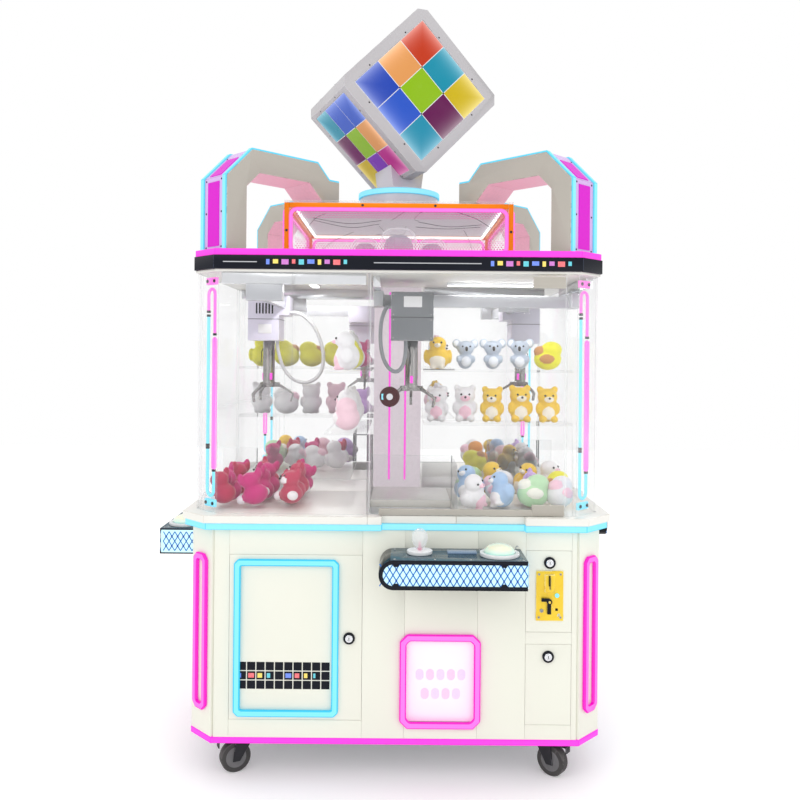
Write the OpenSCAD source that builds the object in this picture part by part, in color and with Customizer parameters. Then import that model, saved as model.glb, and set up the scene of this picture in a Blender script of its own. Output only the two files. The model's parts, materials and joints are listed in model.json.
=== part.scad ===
// Four-player prize crane machine: octagonal cabinet on casters, pinwheel glass bays, lit roof cube.
// Millimetres. Z up, origin on the floor under the centre. Station 0 faces -Y, and the other three
// stations are the same shapes turned by 90, 180 and 270 degrees.

/* [Cabinet] */
// Width of the cabinet across two opposite faces
body_w = 1360; // [1200:10:1600]
// Leg of the 45 degree cut on each cabinet corner
body_cut = 82; // [60:1:110]
// Height of the cabinet's underside above the floor
body_z0 = 125; // [120:1:160]
// Height of the deck's top face above the floor
deck_top = 870; // [860:1:930]
// Thickness of the cabinet boards
board = 18; // [12:1:22]
// Thickness of the base board
base_t = 20; // [15:1:30]
// Thickness of the deck board
deck_t = 25; // [20:1:30]
// How far the deck reaches past the cabinet faces
deck_over = 30; // [20:1:40]
// Height of the light strip under the deck
deck_led_h = 22; // [14:1:26]
// Depth of the light strips
led_d = 9; // [5:1:10]

/* [Glass house] */
// Height of the glass between deck and header
glass_h = 790; // [600:10:900]
// Thickness of the glass
glass_t = 8; // [6:1:10]
// Setback of the glass from the cabinet face
glass_in = 8; // [4:1:12]
// Half width of the centre core
core_r = 93; // [80:1:110]
// Thickness of the clear partitions and shelves
clear_t = 6; // [4:1:8]
// Left edge of the glass door
door_x0 = -90; // [-93:1:-80]
// Right edge of the glass door
door_x1 = 550; // [520:1:570]
// Depth of the prize shelves
shelf_d = 140; // [120:1:150]
// Height of the lower shelf above the deck
shelf_low = 258; // [230:1:280]
// Height of the upper shelf above the deck
shelf_high = 460; // [430:1:480]
// Width of the prize chute
chute_w = 288; // [270:1:310]
// Depth of the prize chute, front to back
chute_d = 270; // [250:1:280]
// Height of the clear chute walls above the deck
chute_h = 162; // [120:1:165]

/* [Header and roof] */
// Height of the header, without its light strip
header_h = 54; // [50:1:70]
// Height of the header's light strip
header_led_h = 21; // [14:1:26]
// Side of the light box on the roof
lamp_w = 820; // [740:10:860]
// Height of the light box
lamp_h = 208; // [180:1:230]
// Width of the light box's frame bars
lamp_bar = 17; // [14:1:24]
// Width of each roof arch
arch_w = 150; // [120:5:160]
// Rise of the roof arches over the roof
arch_h = 342; // [330:1:370]
// Radius of the turntable housing
turn_r = 158; // [140:1:180]
// Height of the turntable housing
turn_h = 99; // [90:1:110]

/* [Cube] */
// Side of the turning cube
cube_w = 466; // [420:1:500]
// Leg of the cut on the cube's long edges
cube_cut = 28; // [20:1:34]
// Width of the cube's frame round its tiles
cube_rim = 43; // [36:1:50]
// Height of the gap between turntable and the cube's lowest edge
cube_gap = 28; // [24:1:40]
// Turn of the cube about the vertical at rest
cube_yaw = 21; // [0:1:45]

/* [Doors] */
// Left edge of the service door
service_x0 = -541; // [-550:1:-520]
// Right edge of the service door
service_x1 = -108; // [-130:1:-105]
// Bottom of the service door
service_z0 = 203; // [195:1:220]
// Top of the service door
service_z1 = 740; // [700:1:745]
// Left edge of the prize opening
prize_x0 = 30; // [20:1:40]
// Right edge of the prize opening
prize_x1 = 267; // [250:1:270]
// Bottom of the prize opening
prize_z0 = 196; // [192:1:210]
// Top of the prize opening
prize_z1 = 472; // [450:1:474]
// Left edge of the coin and cash doors
coin_x0 = 423; // [418:1:430]
// Right edge of the coin and cash doors
coin_x1 = 573; // [565:1:575]
// Bottom of the cash door
cash_z0 = 193; // [185:1:205]
// Top of the cash door
cash_z1 = 456; // [440:1:460]
// Bottom of the coin door
coin_z0 = 495; // [485:1:500]
// Top of the coin door
coin_z1 = 760; // [750:1:765]
// Gap round each door leaf
door_gap = 0.6; // [0.5:0.1:0.9]

/* [Control panel] */
// Left end of the control panel
panel_x0 = -53; // [-60:1:-45]
// Right end of the control panel
panel_x1 = 405; // [395:1:410]
// Height of the control panel
panel_h = 92; // [84:1:96]
// Bottom of the control panel
panel_z0 = 673; // [665:1:680]
// How far the control panel stands out
panel_d = 166; // [150:1:180]
// Radius of the dome button
dome_r = 50; // [44:1:52]
// Travel of the dome button
dome_travel = 5; // [3:1:6]
// Radius of the joystick's shaft
stick_r = 5; // [4:0.5:6]

/* [Crane] */
// Width of the crane trolley
trolley_w = 150; // [130:1:160]
// Height of the crane trolley
trolley_h = 171; // [160:1:180]
// Radius of the claw's coil housing
coil_r = 22.5; // [20:0.5:26]
// Length of the claw's coil housing
coil_l = 160; // [130:1:165]
// Radius of the claw's finger pins
finger_pin_r = 2; // [1.5:0.1:2.5]

/* [Casters] */
// Radius of a caster wheel
wheel_r = 50; // [45:1:52]
// Width of a caster wheel
wheel_w = 32; // [28:1:36]
// Trail of a caster wheel behind its kingpin
trail = 35; // [30:1:40]
// Half spacing of the casters, side to side
caster_x = 500; // [450:5:520]
// Half spacing of the casters, front to back
caster_y = 590; // [500:5:595]

/* [Prizes] */
// Radius of a plush toy's body
plush_r = 38; // [30:1:40]

/* [Fits] */
// Joint between two fixed boards or panes
seam = 0.4; // [0.2:0.1:0.6]
// Gap between a part and the one that it rides on
run = 0.8; // [0.4:0.1:0.9]
// Radial clearance of pins in their bores
pin_fit = 0.05; // [0.03:0.01:0.08]

/* [Hidden] */
$fn = 48;
body_r = body_w / 2;
flat_r = body_r - body_cut;
deck_z = deck_top - deck_t;
glass_r = body_r - glass_in;
glass_flat = glass_r - body_cut;
glass_top = deck_top + glass_h;
roof_z = glass_top + header_h + header_led_h;
lamp_r = lamp_w / 2;
lamp_top = roof_z + lamp_h;
turn_top = lamp_top + turn_h;
chute_x1 = chute_w - core_r;
chute_y1 = chute_d - glass_r + glass_t + 4;
chute_y0 = -glass_r + glass_t + 4;
bin_x1 = prize_x1 + 8;
wall_y = -core_r - clear_t;
neon_d = 12;
neon_t = 22;
// Crane heights hang from the header's underside
rail_h = 38;
rail_w = 24;
rail_in = 8;
beam_h = 44;
beam_z = glass_top - rail_h - run - 54;
beam_y0 = 50;
beam_t = 20;
carriage_w = 36;
trolley_top = beam_z + 47;
trolley_z = trolley_top - trolley_h;
hub_z = trolley_z - run - coil_l;
finger_r = 36;
rope_r = 1.5;
// Claw centre of each station's crane, in the station's own axes
crane_at = [[50, -400], [150, -520], [150, -500], [150, -500]];
// Joystick and button places on the panel
stick_at = [75, -body_r - 71];
dome_at = [326, -body_r - 90];
collar_w = 12;
display_w = 93;
display_x1 = dome_at[0] - dome_r - collar_w - 8;
panel_top = panel_z0 + panel_h;
panel_wall = 9;
pivot_z = panel_top - 30;
// Casters: place and turn of each
caster_at = [[-caster_x, -caster_y], [caster_x, -caster_y], [-caster_x, caster_y], [caster_x, caster_y]];
caster_turn = [205, 320, 150, 35];
fork_t = 4;
axle_r = 5;
// Rolled cube: half diagonal height
cube_z = turn_top + cube_gap + cube_w * sqrt(2) / 2;

// Hose routes: points chosen by hand, front one relative to the claw centre, left one in place
hose_r = 7;
hose_sides = 8;
hose_front_pts = [[-75.2, -50, 1560], [-90, -50, 1560], [-106, -62, 1520], [-111, -68, 1470], [-108, -70, 1415],
    [-96, -70, 1370], [-74, -69, 1340], [-50, -64, 1335], [-32, -55, 1355], [-24, -46, 1388], [-22, -38, 1418],
    [-22, -38, 1443]];
hose_left_pts = [[-415.7, -190, 1551], [-392, -190, 1551], [-360, -188, 1537], [-325, -185, 1502],
    [-300, -182, 1450], [-287, -180, 1395], [-290, -178, 1340], [-312, -176, 1302], [-348, -174, 1284],
    [-388, -172, 1288], [-422, -170, 1312], [-446, -168, 1350], [-459, -167, 1392], [-465, -166, 1422],
    [-465, -166, 1443]];

// ---- Shared shapes ----

module station(i) rotate([0, 0, 90 * i]) children();

module box(x0, x1, y0, y1, z0, z1) translate([x0, y0, z0]) cube([x1 - x0, y1 - y0, z1 - z0]);

// A board whose edges are held back by half a seam in X and Z
module leaf(x0, x1, y0, y1, z0, z1) box(x0 + seam / 2, x1 - seam / 2, y0, y1, z0 + seam / 2, z1 - seam / 2);

function octagon(r, cut) = [[-r, cut - r], [cut - r, -r], [r - cut, -r], [r, cut - r],
    [r, r - cut], [r - cut, r], [cut - r, r], [-r, r - cut]];

module oct_plate(r, cut, z0, z1) translate([0, 0, z0]) linear_extrude(z1 - z0) polygon(octagon(r, cut));

module oct_ring(r, d, cut, z0, z1) translate([0, 0, z0]) linear_extrude(z1 - z0) difference() {
    polygon(octagon(r, cut));
    polygon(octagon(r - d, cut - d * (2 - sqrt(2))));
}

// A flat loop in the XZ plane with cut corners, standing out towards -Y from y
module loop(x0, x1, z0, z1, t, cut, y, d) {
    module outline(i, c) polygon([[x0 + i + c, z0 + i], [x1 - i - c, z0 + i], [x1 - i, z0 + i + c],
        [x1 - i, z1 - i - c], [x1 - i - c, z1 - i], [x0 + i + c, z1 - i], [x0 + i, z1 - i - c],
        [x0 + i, z0 + i + c]]);
    translate([0, y, 0]) rotate([90, 0, 0]) linear_extrude(d) difference() {
        outline(0, cut);
        outline(t, cut - t * (2 - sqrt(2)));
    }
}

// ---- Base and casters ----

module base_frame() color("gainsboro") {
    oct_plate(body_r - led_d - seam, body_cut, body_z0, body_z0 + base_t - seam);
    for (c = caster_at) translate([c[0], c[1], body_z0 - 5 - seam]) {
        translate([-48, -42, 0]) cube([96, 84, 5]);
    }
}

module caster_fork(i) color("dimgray") translate([caster_at[i][0], caster_at[i][1], 0])
    rotate([0, 0, caster_turn[i]]) difference() {
        union() {
            // Swivel head, crown and two cheeks
            translate([0, 0, wheel_r * 2 + 10]) cylinder(r = 30, h = body_z0 - 5 - seam - run - wheel_r * 2 - 10);
            translate([-34, -wheel_w / 2 - 2 - fork_t, wheel_r * 2 + 4]) cube([72, wheel_w + 4 + 2 * fork_t, 6]);
            for (s = [-1, 1]) translate([0, s * (wheel_w / 2 + 2 + fork_t / 2) + fork_t / 2, 0])
                rotate([90, 0, 0]) linear_extrude(fork_t)
                    polygon([[-20, wheel_r * 2 + 5], [trail - 12, wheel_r - 12], [trail + 12, wheel_r - 12],
                        [trail + 3, wheel_r * 2 + 5]]);
            // Axle
            translate([trail, wheel_w / 2 + 2 + fork_t, wheel_r]) rotate([90, 0, 0])
                cylinder(r = axle_r, h = wheel_w + 4 + 2 * fork_t);
            // Brake pedal over the wheel
            translate([trail + 3, -13, wheel_r * 2 + 5]) cube([wheel_r + 6, 26, 4]);
            translate([trail + wheel_r + 5, -13, wheel_r * 2 - 12]) cube([4, 26, 21]);
        }
        translate([0, 0, wheel_r * 2 + 6]) cylinder(r = 6, h = 30);
    }

module caster_wheel(i) color("black") translate([caster_at[i][0], caster_at[i][1], 0])
    rotate([0, 0, caster_turn[i]]) translate([trail, wheel_w / 2, wheel_r]) rotate([90, 0, 0])
        difference() {
            cylinder(r = wheel_r, h = wheel_w);
            translate([0, 0, -1]) cylinder(r = axle_r + pin_fit, h = wheel_w + 2);
        }

// ---- Cabinet ----

module front_boards() {
    y0 = -body_r;
    y1 = board - body_r;
    z0 = body_z0 + base_t;
    z1 = deck_z;
    flat = flat_r - board * (sqrt(2) - 1) - seam;
    leaf(-flat, service_x0, y0, y1, z0, z1);
    leaf(service_x0, service_x1, y0, y1, z0, service_z0);
    leaf(service_x0, service_x1, y0, y1, service_z1, z1);
    leaf(service_x1, prize_x0, y0, y1, z0, z1);
    leaf(prize_x0, prize_x1, y0, y1, z0, prize_z0);
    leaf(prize_x0, prize_x1, y0, y1, prize_z1, z1);
    leaf(prize_x1, coin_x0, y0, y1, z0, z1);
    leaf(coin_x0, coin_x1, y0, y1, z0, cash_z0);
    leaf(coin_x0, coin_x1, y0, y1, cash_z1, coin_z0);
    leaf(coin_x0, coin_x1, y0, y1, coin_z1, z1);
    leaf(coin_x1, flat, y0, y1, z0, z1);
}

module corner_board() {
    // Fills the cut corner between two faces, with mitred ends
    d = (body_r + flat_r) / sqrt(2);
    h = body_cut * sqrt(2) / 2;
    rotate([0, 0, 45]) translate([0, 0, body_z0 + base_t + seam / 2]) linear_extrude(deck_z - body_z0 - base_t - seam)
        polygon([[-h, -d], [h, -d], [h, board * sqrt(2) - d - 8], [-h, board * sqrt(2) - d - 8]]);
}

module cabinet_panels() color("ivory") for (i = [0:3]) station(i) {
    front_boards();
    corner_board();
}

module deck_station() difference() {
    intersection() {
        oct_plate(body_r + deck_over, body_cut + 8, deck_z, deck_top);
        union() {
            edge = body_r + deck_over;
            box(chute_x1 + seam / 2, edge, -edge, -core_r - seam / 2, deck_z, deck_top);
            box(-core_r + seam / 2, chute_x1 - seam / 2, -edge, chute_y0, deck_z, deck_top);
            box(-core_r + seam / 2, chute_x1 - seam / 2, chute_y1, -core_r - seam / 2, deck_z, deck_top);
        }
    }
    box(panel_x0 + 6, panel_x1 + 12, -body_r - 2 * deck_over, -body_r, deck_z - 1, deck_top + 1);
}

module deck() color("antiquewhite") {
    for (i = [0:3]) station(i) deck_station();
    box(-core_r + seam, core_r - seam, -core_r + seam, core_r - seam, deck_z, deck_top);
}

module pink_led_strips() color("hotpink") {
    oct_ring(body_r + 2, led_d, body_cut + 1, body_z0, body_z0 + base_t - seam);
    oct_ring(body_r, led_d, body_cut, glass_top + header_h, roof_z);
}

module arch_profile(i) polygon([[870 - i, roof_z], [870 - i, lamp_top + 34 - i / 2], [770 - i / 2, roof_z + arch_h - i],
    [488 + i / 2, roof_z + arch_h - i], [433 + i / 2, lamp_top + 79 - i], [386 + i, lamp_top + 79 - i],
    [386 + i, lamp_top], [465 - i, lamp_top], [524 - i / 2, lamp_top + 59 + i], [740 + i / 2, lamp_top + 59 + i],
    [792 + i, lamp_top + 8 - i / 2], [792 + i, roof_z]]);

module cyan_led_strips() color("aqua") {
    difference() {
        oct_ring(body_r + deck_over - 8, deck_over - 8 - seam, body_cut + 4, deck_z - deck_led_h, deck_z - seam);
        for (i = [0:3]) station(i)
            box(panel_x0 + 6, panel_x1 + 12, -body_r - 2 * deck_over, -body_r - 5, deck_z - deck_led_h - 1, deck_z);
    }
    // Bands along both edges of each roof arch
    for (i = [0:3]) rotate([0, 0, 45 + 90 * i]) for (s = [-1, 1])
        translate([0, s * (arch_w / 2 - 10) + 10, 0]) rotate([90, 0, 0]) linear_extrude(20) arch_rim();
    // Ring round the turntable
    translate([0, 0, turn_top - 22]) difference() {
        cylinder(r = turn_r + 6, h = 22, $fn = 96);
        translate([0, 0, -1]) cylinder(r = turn_r + seam, h = 24, $fn = 96);
    }
}

// Outer contour of an arch, one band thick
module arch_rim() polygon([[870 + 6, roof_z], [870 + 6, lamp_top + 36], [772, roof_z + arch_h + 6],
    [486, roof_z + arch_h + 6], [431, lamp_top + 85], [386, lamp_top + 85], [386, lamp_top + 79 + seam],
    [433, lamp_top + 79 + seam], [488, roof_z + arch_h + seam], [770, roof_z + arch_h + seam],
    [870 + seam, lamp_top + 34 + seam], [870 + seam, roof_z]]);

module neon_loops() color("violet") {
    // Racetrack on each cut corner of the cabinet
    d = (body_r + flat_r) / sqrt(2);
    for (i = [0:3]) rotate([0, 0, 45 + 90 * i]) {
        loop(-38, 38, 223, 736, neon_t, 18, -d - seam, neon_d);
    }
    // Frame round each prize opening
    for (i = [0:3]) station(i)
        loop(prize_x0 - 15, prize_x1 + 11, prize_z0 - 16, prize_z1 + 14, neon_t, 24, -body_r - seam, neon_d);
    // Frames on the service doors of the other three stations
    for (i = [1:3]) station(i) service_neon();
}

module service_neon() loop(service_x0 + 16, service_x1 - 76, service_z0 + 12, service_z1 - 14, neon_t, 14,
    -body_r - seam, neon_d);

module lock_cylinder(x, z) translate([x, -body_r - seam, z]) rotate([90, 0, 0]) cylinder(r = 19, h = 9);

module service_leaf() box(service_x0 + door_gap, service_x1 - door_gap, -body_r, board - body_r,
    service_z0 + door_gap, service_z1 - door_gap);

module service_door() color("white") {
    service_leaf();
    service_neon();
    lock_cylinder(service_x1 - 42, 470);
}

module prize_leaf() box(prize_x0 + 3, prize_x1 - 3, 6 - body_r, 12 - body_r, prize_z0 + 3, prize_z1 - door_gap);

module prize_flap() color("white") prize_leaf();

module coin_leaf() box(coin_x0 + door_gap, coin_x1 - door_gap, -body_r, board - body_r,
    coin_z0 + door_gap, coin_z1 - door_gap);

module coin_door() color("ivory") {
    coin_leaf();
    lock_cylinder(coin_x0 + 77, coin_z1 - 39);
    // Coin acceptor behind the leaf
    box(coin_x0 + 48, coin_x1 - 24, board - body_r + seam, board - body_r + 80, coin_z0 + 45, coin_z1 - 70);
}

lever_at = [499, 596];

module coin_plate() color("gold") difference() {
    union() {
        box(456, 545, -body_r - seam - 4, -body_r - seam, 533, 695);
        box(484, 516, -body_r - seam - 12, -body_r - seam - 3, 628, 684);
        translate([lever_at[0], -body_r - seam - 3, lever_at[1]]) rotate([90, 0, 0]) cylinder(r = 4, h = 14);
    }
    box(498, 502, -body_r - seam - 13, -body_r - seam + 1, 636, 676);
    translate([530, -body_r + 1, 552]) rotate([90, 0, 0]) cylinder(r = 5, h = 8);
}

// Coin return lever turning on the plate's boss
module return_lever() color("black") translate([lever_at[0], -body_r - seam - 4 - run, lever_at[1]])
    rotate([90, 0, 0]) difference() {
        union() {
            cylinder(r = 9, h = 7);
            translate([-26, 1, 0]) cube([26, 10, 7]);
            translate([-7, -40, 0]) cube([12, 38, 7]);
        }
        translate([0, 0, -1]) cylinder(r = 4 + pin_fit, h = 9);
    }

module cash_leaf() box(coin_x0 + door_gap, coin_x1 - door_gap, -body_r, board - body_r,
    cash_z0 + door_gap, cash_z1 - door_gap);

module cash_door() color("ivory") {
    cash_leaf();
    lock_cylinder(coin_x0 + 74, cash_z1 - 40);
}

// The same leaves, shut, on the other three stations
module side_doors() color("ivory") for (i = [1:3]) station(i) {
    service_leaf();
    prize_leaf();
    coin_leaf();
    cash_leaf();
}

module prize_bins() color("whitesmoke") for (i = [0:3]) station(i) {
    y0 = board - body_r + seam;
    z0 = prize_z0 - 12;
    z1 = deck_z - seam;
    box(-core_r - clear_t, -core_r, y0, chute_y1, z0, z1);
    box(bin_x1, bin_x1 + clear_t, y0, chute_y1, z0, z1);
    box(-core_r - clear_t, bin_x1 + clear_t, chute_y1 + seam, chute_y1 + seam + clear_t, z0, z1);
    box(-core_r + seam, bin_x1 - seam, y0, chute_y1, z0, z0 + clear_t);
    // Legs that carry the bin on the base board
    box(-core_r, -core_r + 20, y0, chute_y1, body_z0 + base_t, z0 - seam);
    box(bin_x1 - 20, bin_x1, y0, chute_y1, body_z0 + base_t, z0 - seam);
}

module cabinet_internals() color("silver") {
    z = body_z0 + base_t;
    // Power supply, control board on its tray, and the cash box
    box(-500, -300, -600, -440, z, z + 90);
    box(-370, -130, -380, -200, z, z + 14);
    box(-360, -140, -370, -210, z + 14 + seam, z + 40);
    cash_y = board - body_r + 12;
    difference() {
        box(coin_x0 + 10, coin_x1 - 14, cash_y, cash_y + 180, z, cash_z1 - 60);
        box(coin_x0 + 13, coin_x1 - 17, cash_y + 3, cash_y + 177, z + 3, cash_z1);
    }
}

// ---- Control panels ----

module panel_outline(i) {
    r = panel_h / 2;
    translate([panel_x0 + r, panel_z0 + r]) circle(r = r - i);
    translate([panel_x0 + r, panel_z0 + i]) square([panel_x1 - panel_x0 - r, panel_h - 2 * i]);
}

module panel_slab(i, y0, y1) translate([0, y1, 0]) rotate([90, 0, 0]) linear_extrude(y1 - y0) panel_outline(i);

module panel_housings() color("black") for (i = [0:3]) station(i) difference() {
    panel_slab(0, -body_r - panel_d, -body_r - seam);
    panel_slab(panel_wall, -body_r - panel_d - 1, -body_r - 8);
    translate([stick_at[0], stick_at[1], panel_top - 20]) cylinder(r = 27, h = 30);
    translate([dome_at[0], dome_at[1], panel_top - 20]) cylinder(r = dome_r - 8, h = 30);
}

module panel_grilles() color("lightcyan") for (i = [0:3]) station(i) {
    panel_slab(panel_wall + seam, -body_r - panel_d + 1, -body_r - panel_d + 5);
    box(panel_x1 + seam, panel_x1 + 4, -body_r - panel_d + 4, -body_r - 4, panel_z0 + 4, panel_top - 4);
}

// Ring that tilts on pins along X and carries the stick's pins along Y
module gimbal_shape() difference() {
    union() {
        translate([0, 0, -5]) cylinder(r = 20, h = 10);
        translate([-27, 0, 0]) rotate([0, 90, 0]) cylinder(r = 2.5, h = 54);
    }
    translate([0, 0, -6]) cylinder(r = 13, h = 12);
    translate([0, 25, 0]) rotate([90, 0, 0]) cylinder(r = 2 + pin_fit, h = 50);
}

module stick_shape() {
    translate([0, 20, 0]) rotate([90, 0, 0]) cylinder(r = 2, h = 40);
    translate([0, 0, -22]) cylinder(r = stick_r, h = 70);
    translate([0, 0, -6]) cylinder(r = 8, h = 12);
    // Egg-shaped grip
    translate([0, 0, 70]) rotate_extrude() intersection() {
        polygon([[0, -24], [8, -24], [17, -17], [24, -4], [26, 8], [24, 20], [18, 30], [9, 37], [0, 39]]);
        translate([0, -30]) square([30, 90]);
    }
}

module dome_shape() {
    rotate_extrude() polygon([[0, 0], [dome_r - 2, 0], [dome_r - 2, 6], [dome_r - 6, 14], [dome_r - 15, 22],
        [dome_r - 30, 27], [0, 30]]);
    translate([0, 0, -26]) cylinder(r = dome_r - 8 - run, h = 27);
}

module panel_fittings() color("whitesmoke") {
    for (i = [0:3]) station(i) {
        // Joystick base ring, dome collar and credit display
        translate([stick_at[0], stick_at[1], panel_top + seam]) difference() {
            cylinder(r = 40, h = 10);
            translate([0, 0, -1]) cylinder(r = 26, h = 12);
        }
        translate([dome_at[0], dome_at[1], panel_top + seam]) difference() {
            cylinder(r = dome_r + collar_w, h = 10);
            translate([0, 0, -1]) cylinder(r = dome_r, h = 12);
        }
        box(display_x1 - display_w, display_x1, -body_r - 80, -body_r - 40, panel_top + seam, panel_top + 5);
    }
    // Ears that carry each joystick's gimbal
    for (i = [0:3], s = [-1, 1]) station(i) translate([stick_at[0], stick_at[1], pivot_z]) difference() {
        box(s * 24.5 - 2, s * 24.5 + 2, -8, 8, -10, panel_top - panel_wall - seam - pivot_z);
        translate([-40, 0, 0]) rotate([0, 90, 0]) cylinder(r = 2.5 + pin_fit, h = 80);
    }
    // Fixed sticks and domes of the other stations
    for (i = [1:3]) station(i) {
        translate([stick_at[0], stick_at[1], pivot_z]) {
            gimbal_shape();
            stick_shape();
        }
        translate([dome_at[0], dome_at[1], panel_top + dome_travel + 3]) dome_shape();
    }
}

module joystick_gimbal() color("dimgray") translate([stick_at[0], stick_at[1], pivot_z]) gimbal_shape();

module joystick_stick() color("lightblue") translate([stick_at[0], stick_at[1], pivot_z]) stick_shape();

module dome_button() color("mintcream") translate([dome_at[0], dome_at[1], panel_top + dome_travel + 3]) dome_shape();

// ---- Glass house ----

module door_pane() box(door_x0 + run, door_x1 - run, -glass_r, glass_t - glass_r, deck_top + 3, glass_top - run);

module fixed_glass() color("lightcyan", 0.3) {
    z0 = deck_top;
    z1 = glass_top - seam;
    in = glass_t * (sqrt(2) - 1);
    for (i = [0:3]) station(i) {
        box(-glass_flat + in, door_x0, -glass_r, glass_t - glass_r, z0, z1);
        box(door_x1, glass_flat - in, -glass_r, glass_t - glass_r, z0, z1);
        d = (glass_r + glass_flat) / sqrt(2);
        h = body_cut * sqrt(2) / 2 - in;
        rotate([0, 0, 45]) box(-h, h, -d, glass_t - d, z0, z1);
    }
    // Shut doors of the other stations
    for (i = [1:3]) station(i) door_pane();
}

module glass_door() color("lightcyan", 0.3) door_pane();

// Bottom rail, pivot blocks and lock on the door's outer face
module glass_door_fittings() color("wheat") {
    y0 = -glass_r - 12;
    y1 = -glass_r - seam / 2;
    box(-57, 440, y0, y1, deck_top + 2, deck_top + 22);
    box(440 + seam, door_x1 - 5, y0, y1, deck_top + 2, deck_top + 38);
    box(440 + seam, door_x1 - 5, y0, y1, glass_top - 47, glass_top - 10);
    translate([-25, -glass_r - seam / 2, deck_top + 386]) rotate([90, 0, 0]) cylinder(r = 33, h = 14);
}

module core_column() color("whitesmoke") difference() {
    w = 2 * core_r - 2 * seam;
    translate([-w / 2, -w / 2, deck_top + seam]) cube([w, w, glass_h - 2 * seam]);
    translate([12 - w / 2, 12 - w / 2, deck_top - 1]) cube([w - 24, w - 24, glass_h + 2]);
}

module bay_partitions() color("lightcyan", 0.25) for (i = [0:3]) station(i)
    box(wall_y, -core_r, glass_t - glass_r + seam, -core_r - clear_t - seam, deck_top + seam, glass_top - seam);

module prize_shelves() color("lightcyan", 0.3) for (i = [0:3]) station(i) for (z = [shelf_low, shelf_high])
    box(core_r + 8, glass_r - glass_t - seam, wall_y - seam - shelf_d, wall_y - seam, deck_top + z, deck_top + z + 8);

module prize_chutes() color("lightcyan", 0.3) for (i = [0:3]) station(i) {
    box(chute_x1 + seam, chute_x1 + seam + 4, glass_t - glass_r + seam, chute_y1, deck_top + seam, deck_top + chute_h);
    box(-core_r + seam, chute_x1 + 4, chute_y1 + seam, chute_y1 + seam + 4, deck_top + seam, deck_top + chute_h);
}

// Tall loops behind the glass of each cut corner, on stand-offs from the glass
module corner_neon_tubes() color("violet") {
    d = (glass_r + glass_flat) / sqrt(2) - glass_t;
    for (i = [0:3]) rotate([0, 0, 45 + 90 * i]) {
        loop(-34, -2, deck_top + 330, glass_top - 40, 10, 10, 14 - d, 10);
        loop(4, 34, deck_top + 30, deck_top + 560, 10, 10, 14 - d, 10);
        for (p = [[-18, deck_top + 335], [-18, glass_top - 45], [19, deck_top + 35], [19, deck_top + 555]])
            translate([p[0], 4 - d, p[1]]) rotate([90, 0, 0]) cylinder(r = 5, h = 4 - seam);
    }
}

// ---- Cranes ----

module gantry_rails() color("silver") for (i = [0:3]) station(i) {
    z1 = glass_top - seam;
    y0 = 10 - glass_flat;
    y1 = wall_y - 6;
    box(-core_r + rail_in, -core_r + rail_in + rail_w, y0, y1, z1 - rail_h, z1);
    box(glass_r - glass_t - rail_in - rail_w, glass_r - glass_t - rail_in, y0, y1, z1 - rail_h, z1);
    // Ceiling lamps
    box(180, 560, -330, -300, z1 - 10, z1);
}

module bridge_shape(c) {
    x0 = -core_r + 5;
    x1 = glass_r - glass_t - 5;
    y = c[1] + beam_y0;
    rail_z = glass_top - seam - rail_h - run;
    for (x = [x0, x1 - carriage_w]) box(x, x + carriage_w, y - 50, y + beam_t + 50, beam_z, rail_z);
    box(x0 + carriage_w, x1 - carriage_w, y, y + beam_t, beam_z, beam_z + beam_h);
}

module trolley_shape(c) translate([c[0], c[1], 0]) difference() {
    w = trolley_w / 2;
    union() {
        box(-w, w, -70, beam_y0 - 2, trolley_z, trolley_top);
        box(-w, w, beam_y0 - 3, beam_y0 + beam_t + 14, beam_z - 28, trolley_top);
    }
    box(-w - 1, w + 1, beam_y0 - run, beam_y0 + beam_t + run, beam_z - run, trolley_top + 1);
    translate([0, 0, trolley_z - 1]) cylinder(r = 6, h = trolley_h + 2);
}

module claw_shape(c) translate([c[0], c[1], 0]) {
    translate([0, 0, hub_z]) cylinder(r = coil_r, h = coil_l);
    translate([0, 0, hub_z + coil_l - 1]) cylinder(r = rope_r, h = trolley_top - hub_z - coil_l - 4);
    translate([0, 0, hub_z - 18]) cylinder(r = 27, h = 19);
    for (k = [0:2]) rotate([0, 0, 90 + 120 * k]) {
        for (s = [-1, 1]) box(22, 42, s * 8 - 2, s * 8 + 2, hub_z - 18, hub_z);
        translate([finger_r, 9, hub_z - 9]) rotate([90, 0, 0]) cylinder(r = finger_pin_r, h = 18);
    }
}

// One bent finger, hung from its pin
module finger_shape(c, k) translate([c[0], c[1], hub_z - 9]) rotate([0, 0, 90 + 120 * k])
    rotate([90, 0, 0]) difference() {
        translate([0, 0, -5]) linear_extrude(10) polygon([[finger_r - 5, 4], [finger_r, 6], [finger_r + 7, 4],
            [80, -20], [98, -34], [90, -66], [84, -64], [90, -37], [76, -27], [finger_r, -6], [finger_r - 5, -4]]);
        translate([finger_r, 0, -6]) cylinder(r = finger_pin_r + pin_fit, h = 12);
    }

module bridge() color("silver") bridge_shape(crane_at[0]);
module trolley() color("gray") trolley_shape(crane_at[0]);
module claw_body() color("silver") claw_shape(crane_at[0]);
module claw_finger(k) color("silver") finger_shape(crane_at[0], k);

module whole_crane(i) color("gray") station(i) {
    bridge_shape(crane_at[i]);
    trolley_shape(crane_at[i]);
    claw_shape(crane_at[i]);
    for (k = [0:2]) finger_shape(crane_at[i], k);
}

// ---- Header and roof ----

module header() color("antiquewhite") {
    w = 24;
    oct_plate(body_r - 2, body_cut, glass_top, glass_top + 8);
    for (i = [0:3]) station(i) {
        f = flat_r - w;
        box(-f, f, led_d + seam - body_r, w - body_r, glass_top + 8 + seam, roof_z - 12 - seam);
    }
    oct_plate(body_r - led_d - seam, body_cut, roof_z - 12, roof_z);
}

module header_fascia() color("black") oct_ring(body_r + 3, 4, body_cut, glass_top + 8 + seam, glass_top + header_h - seam);

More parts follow.
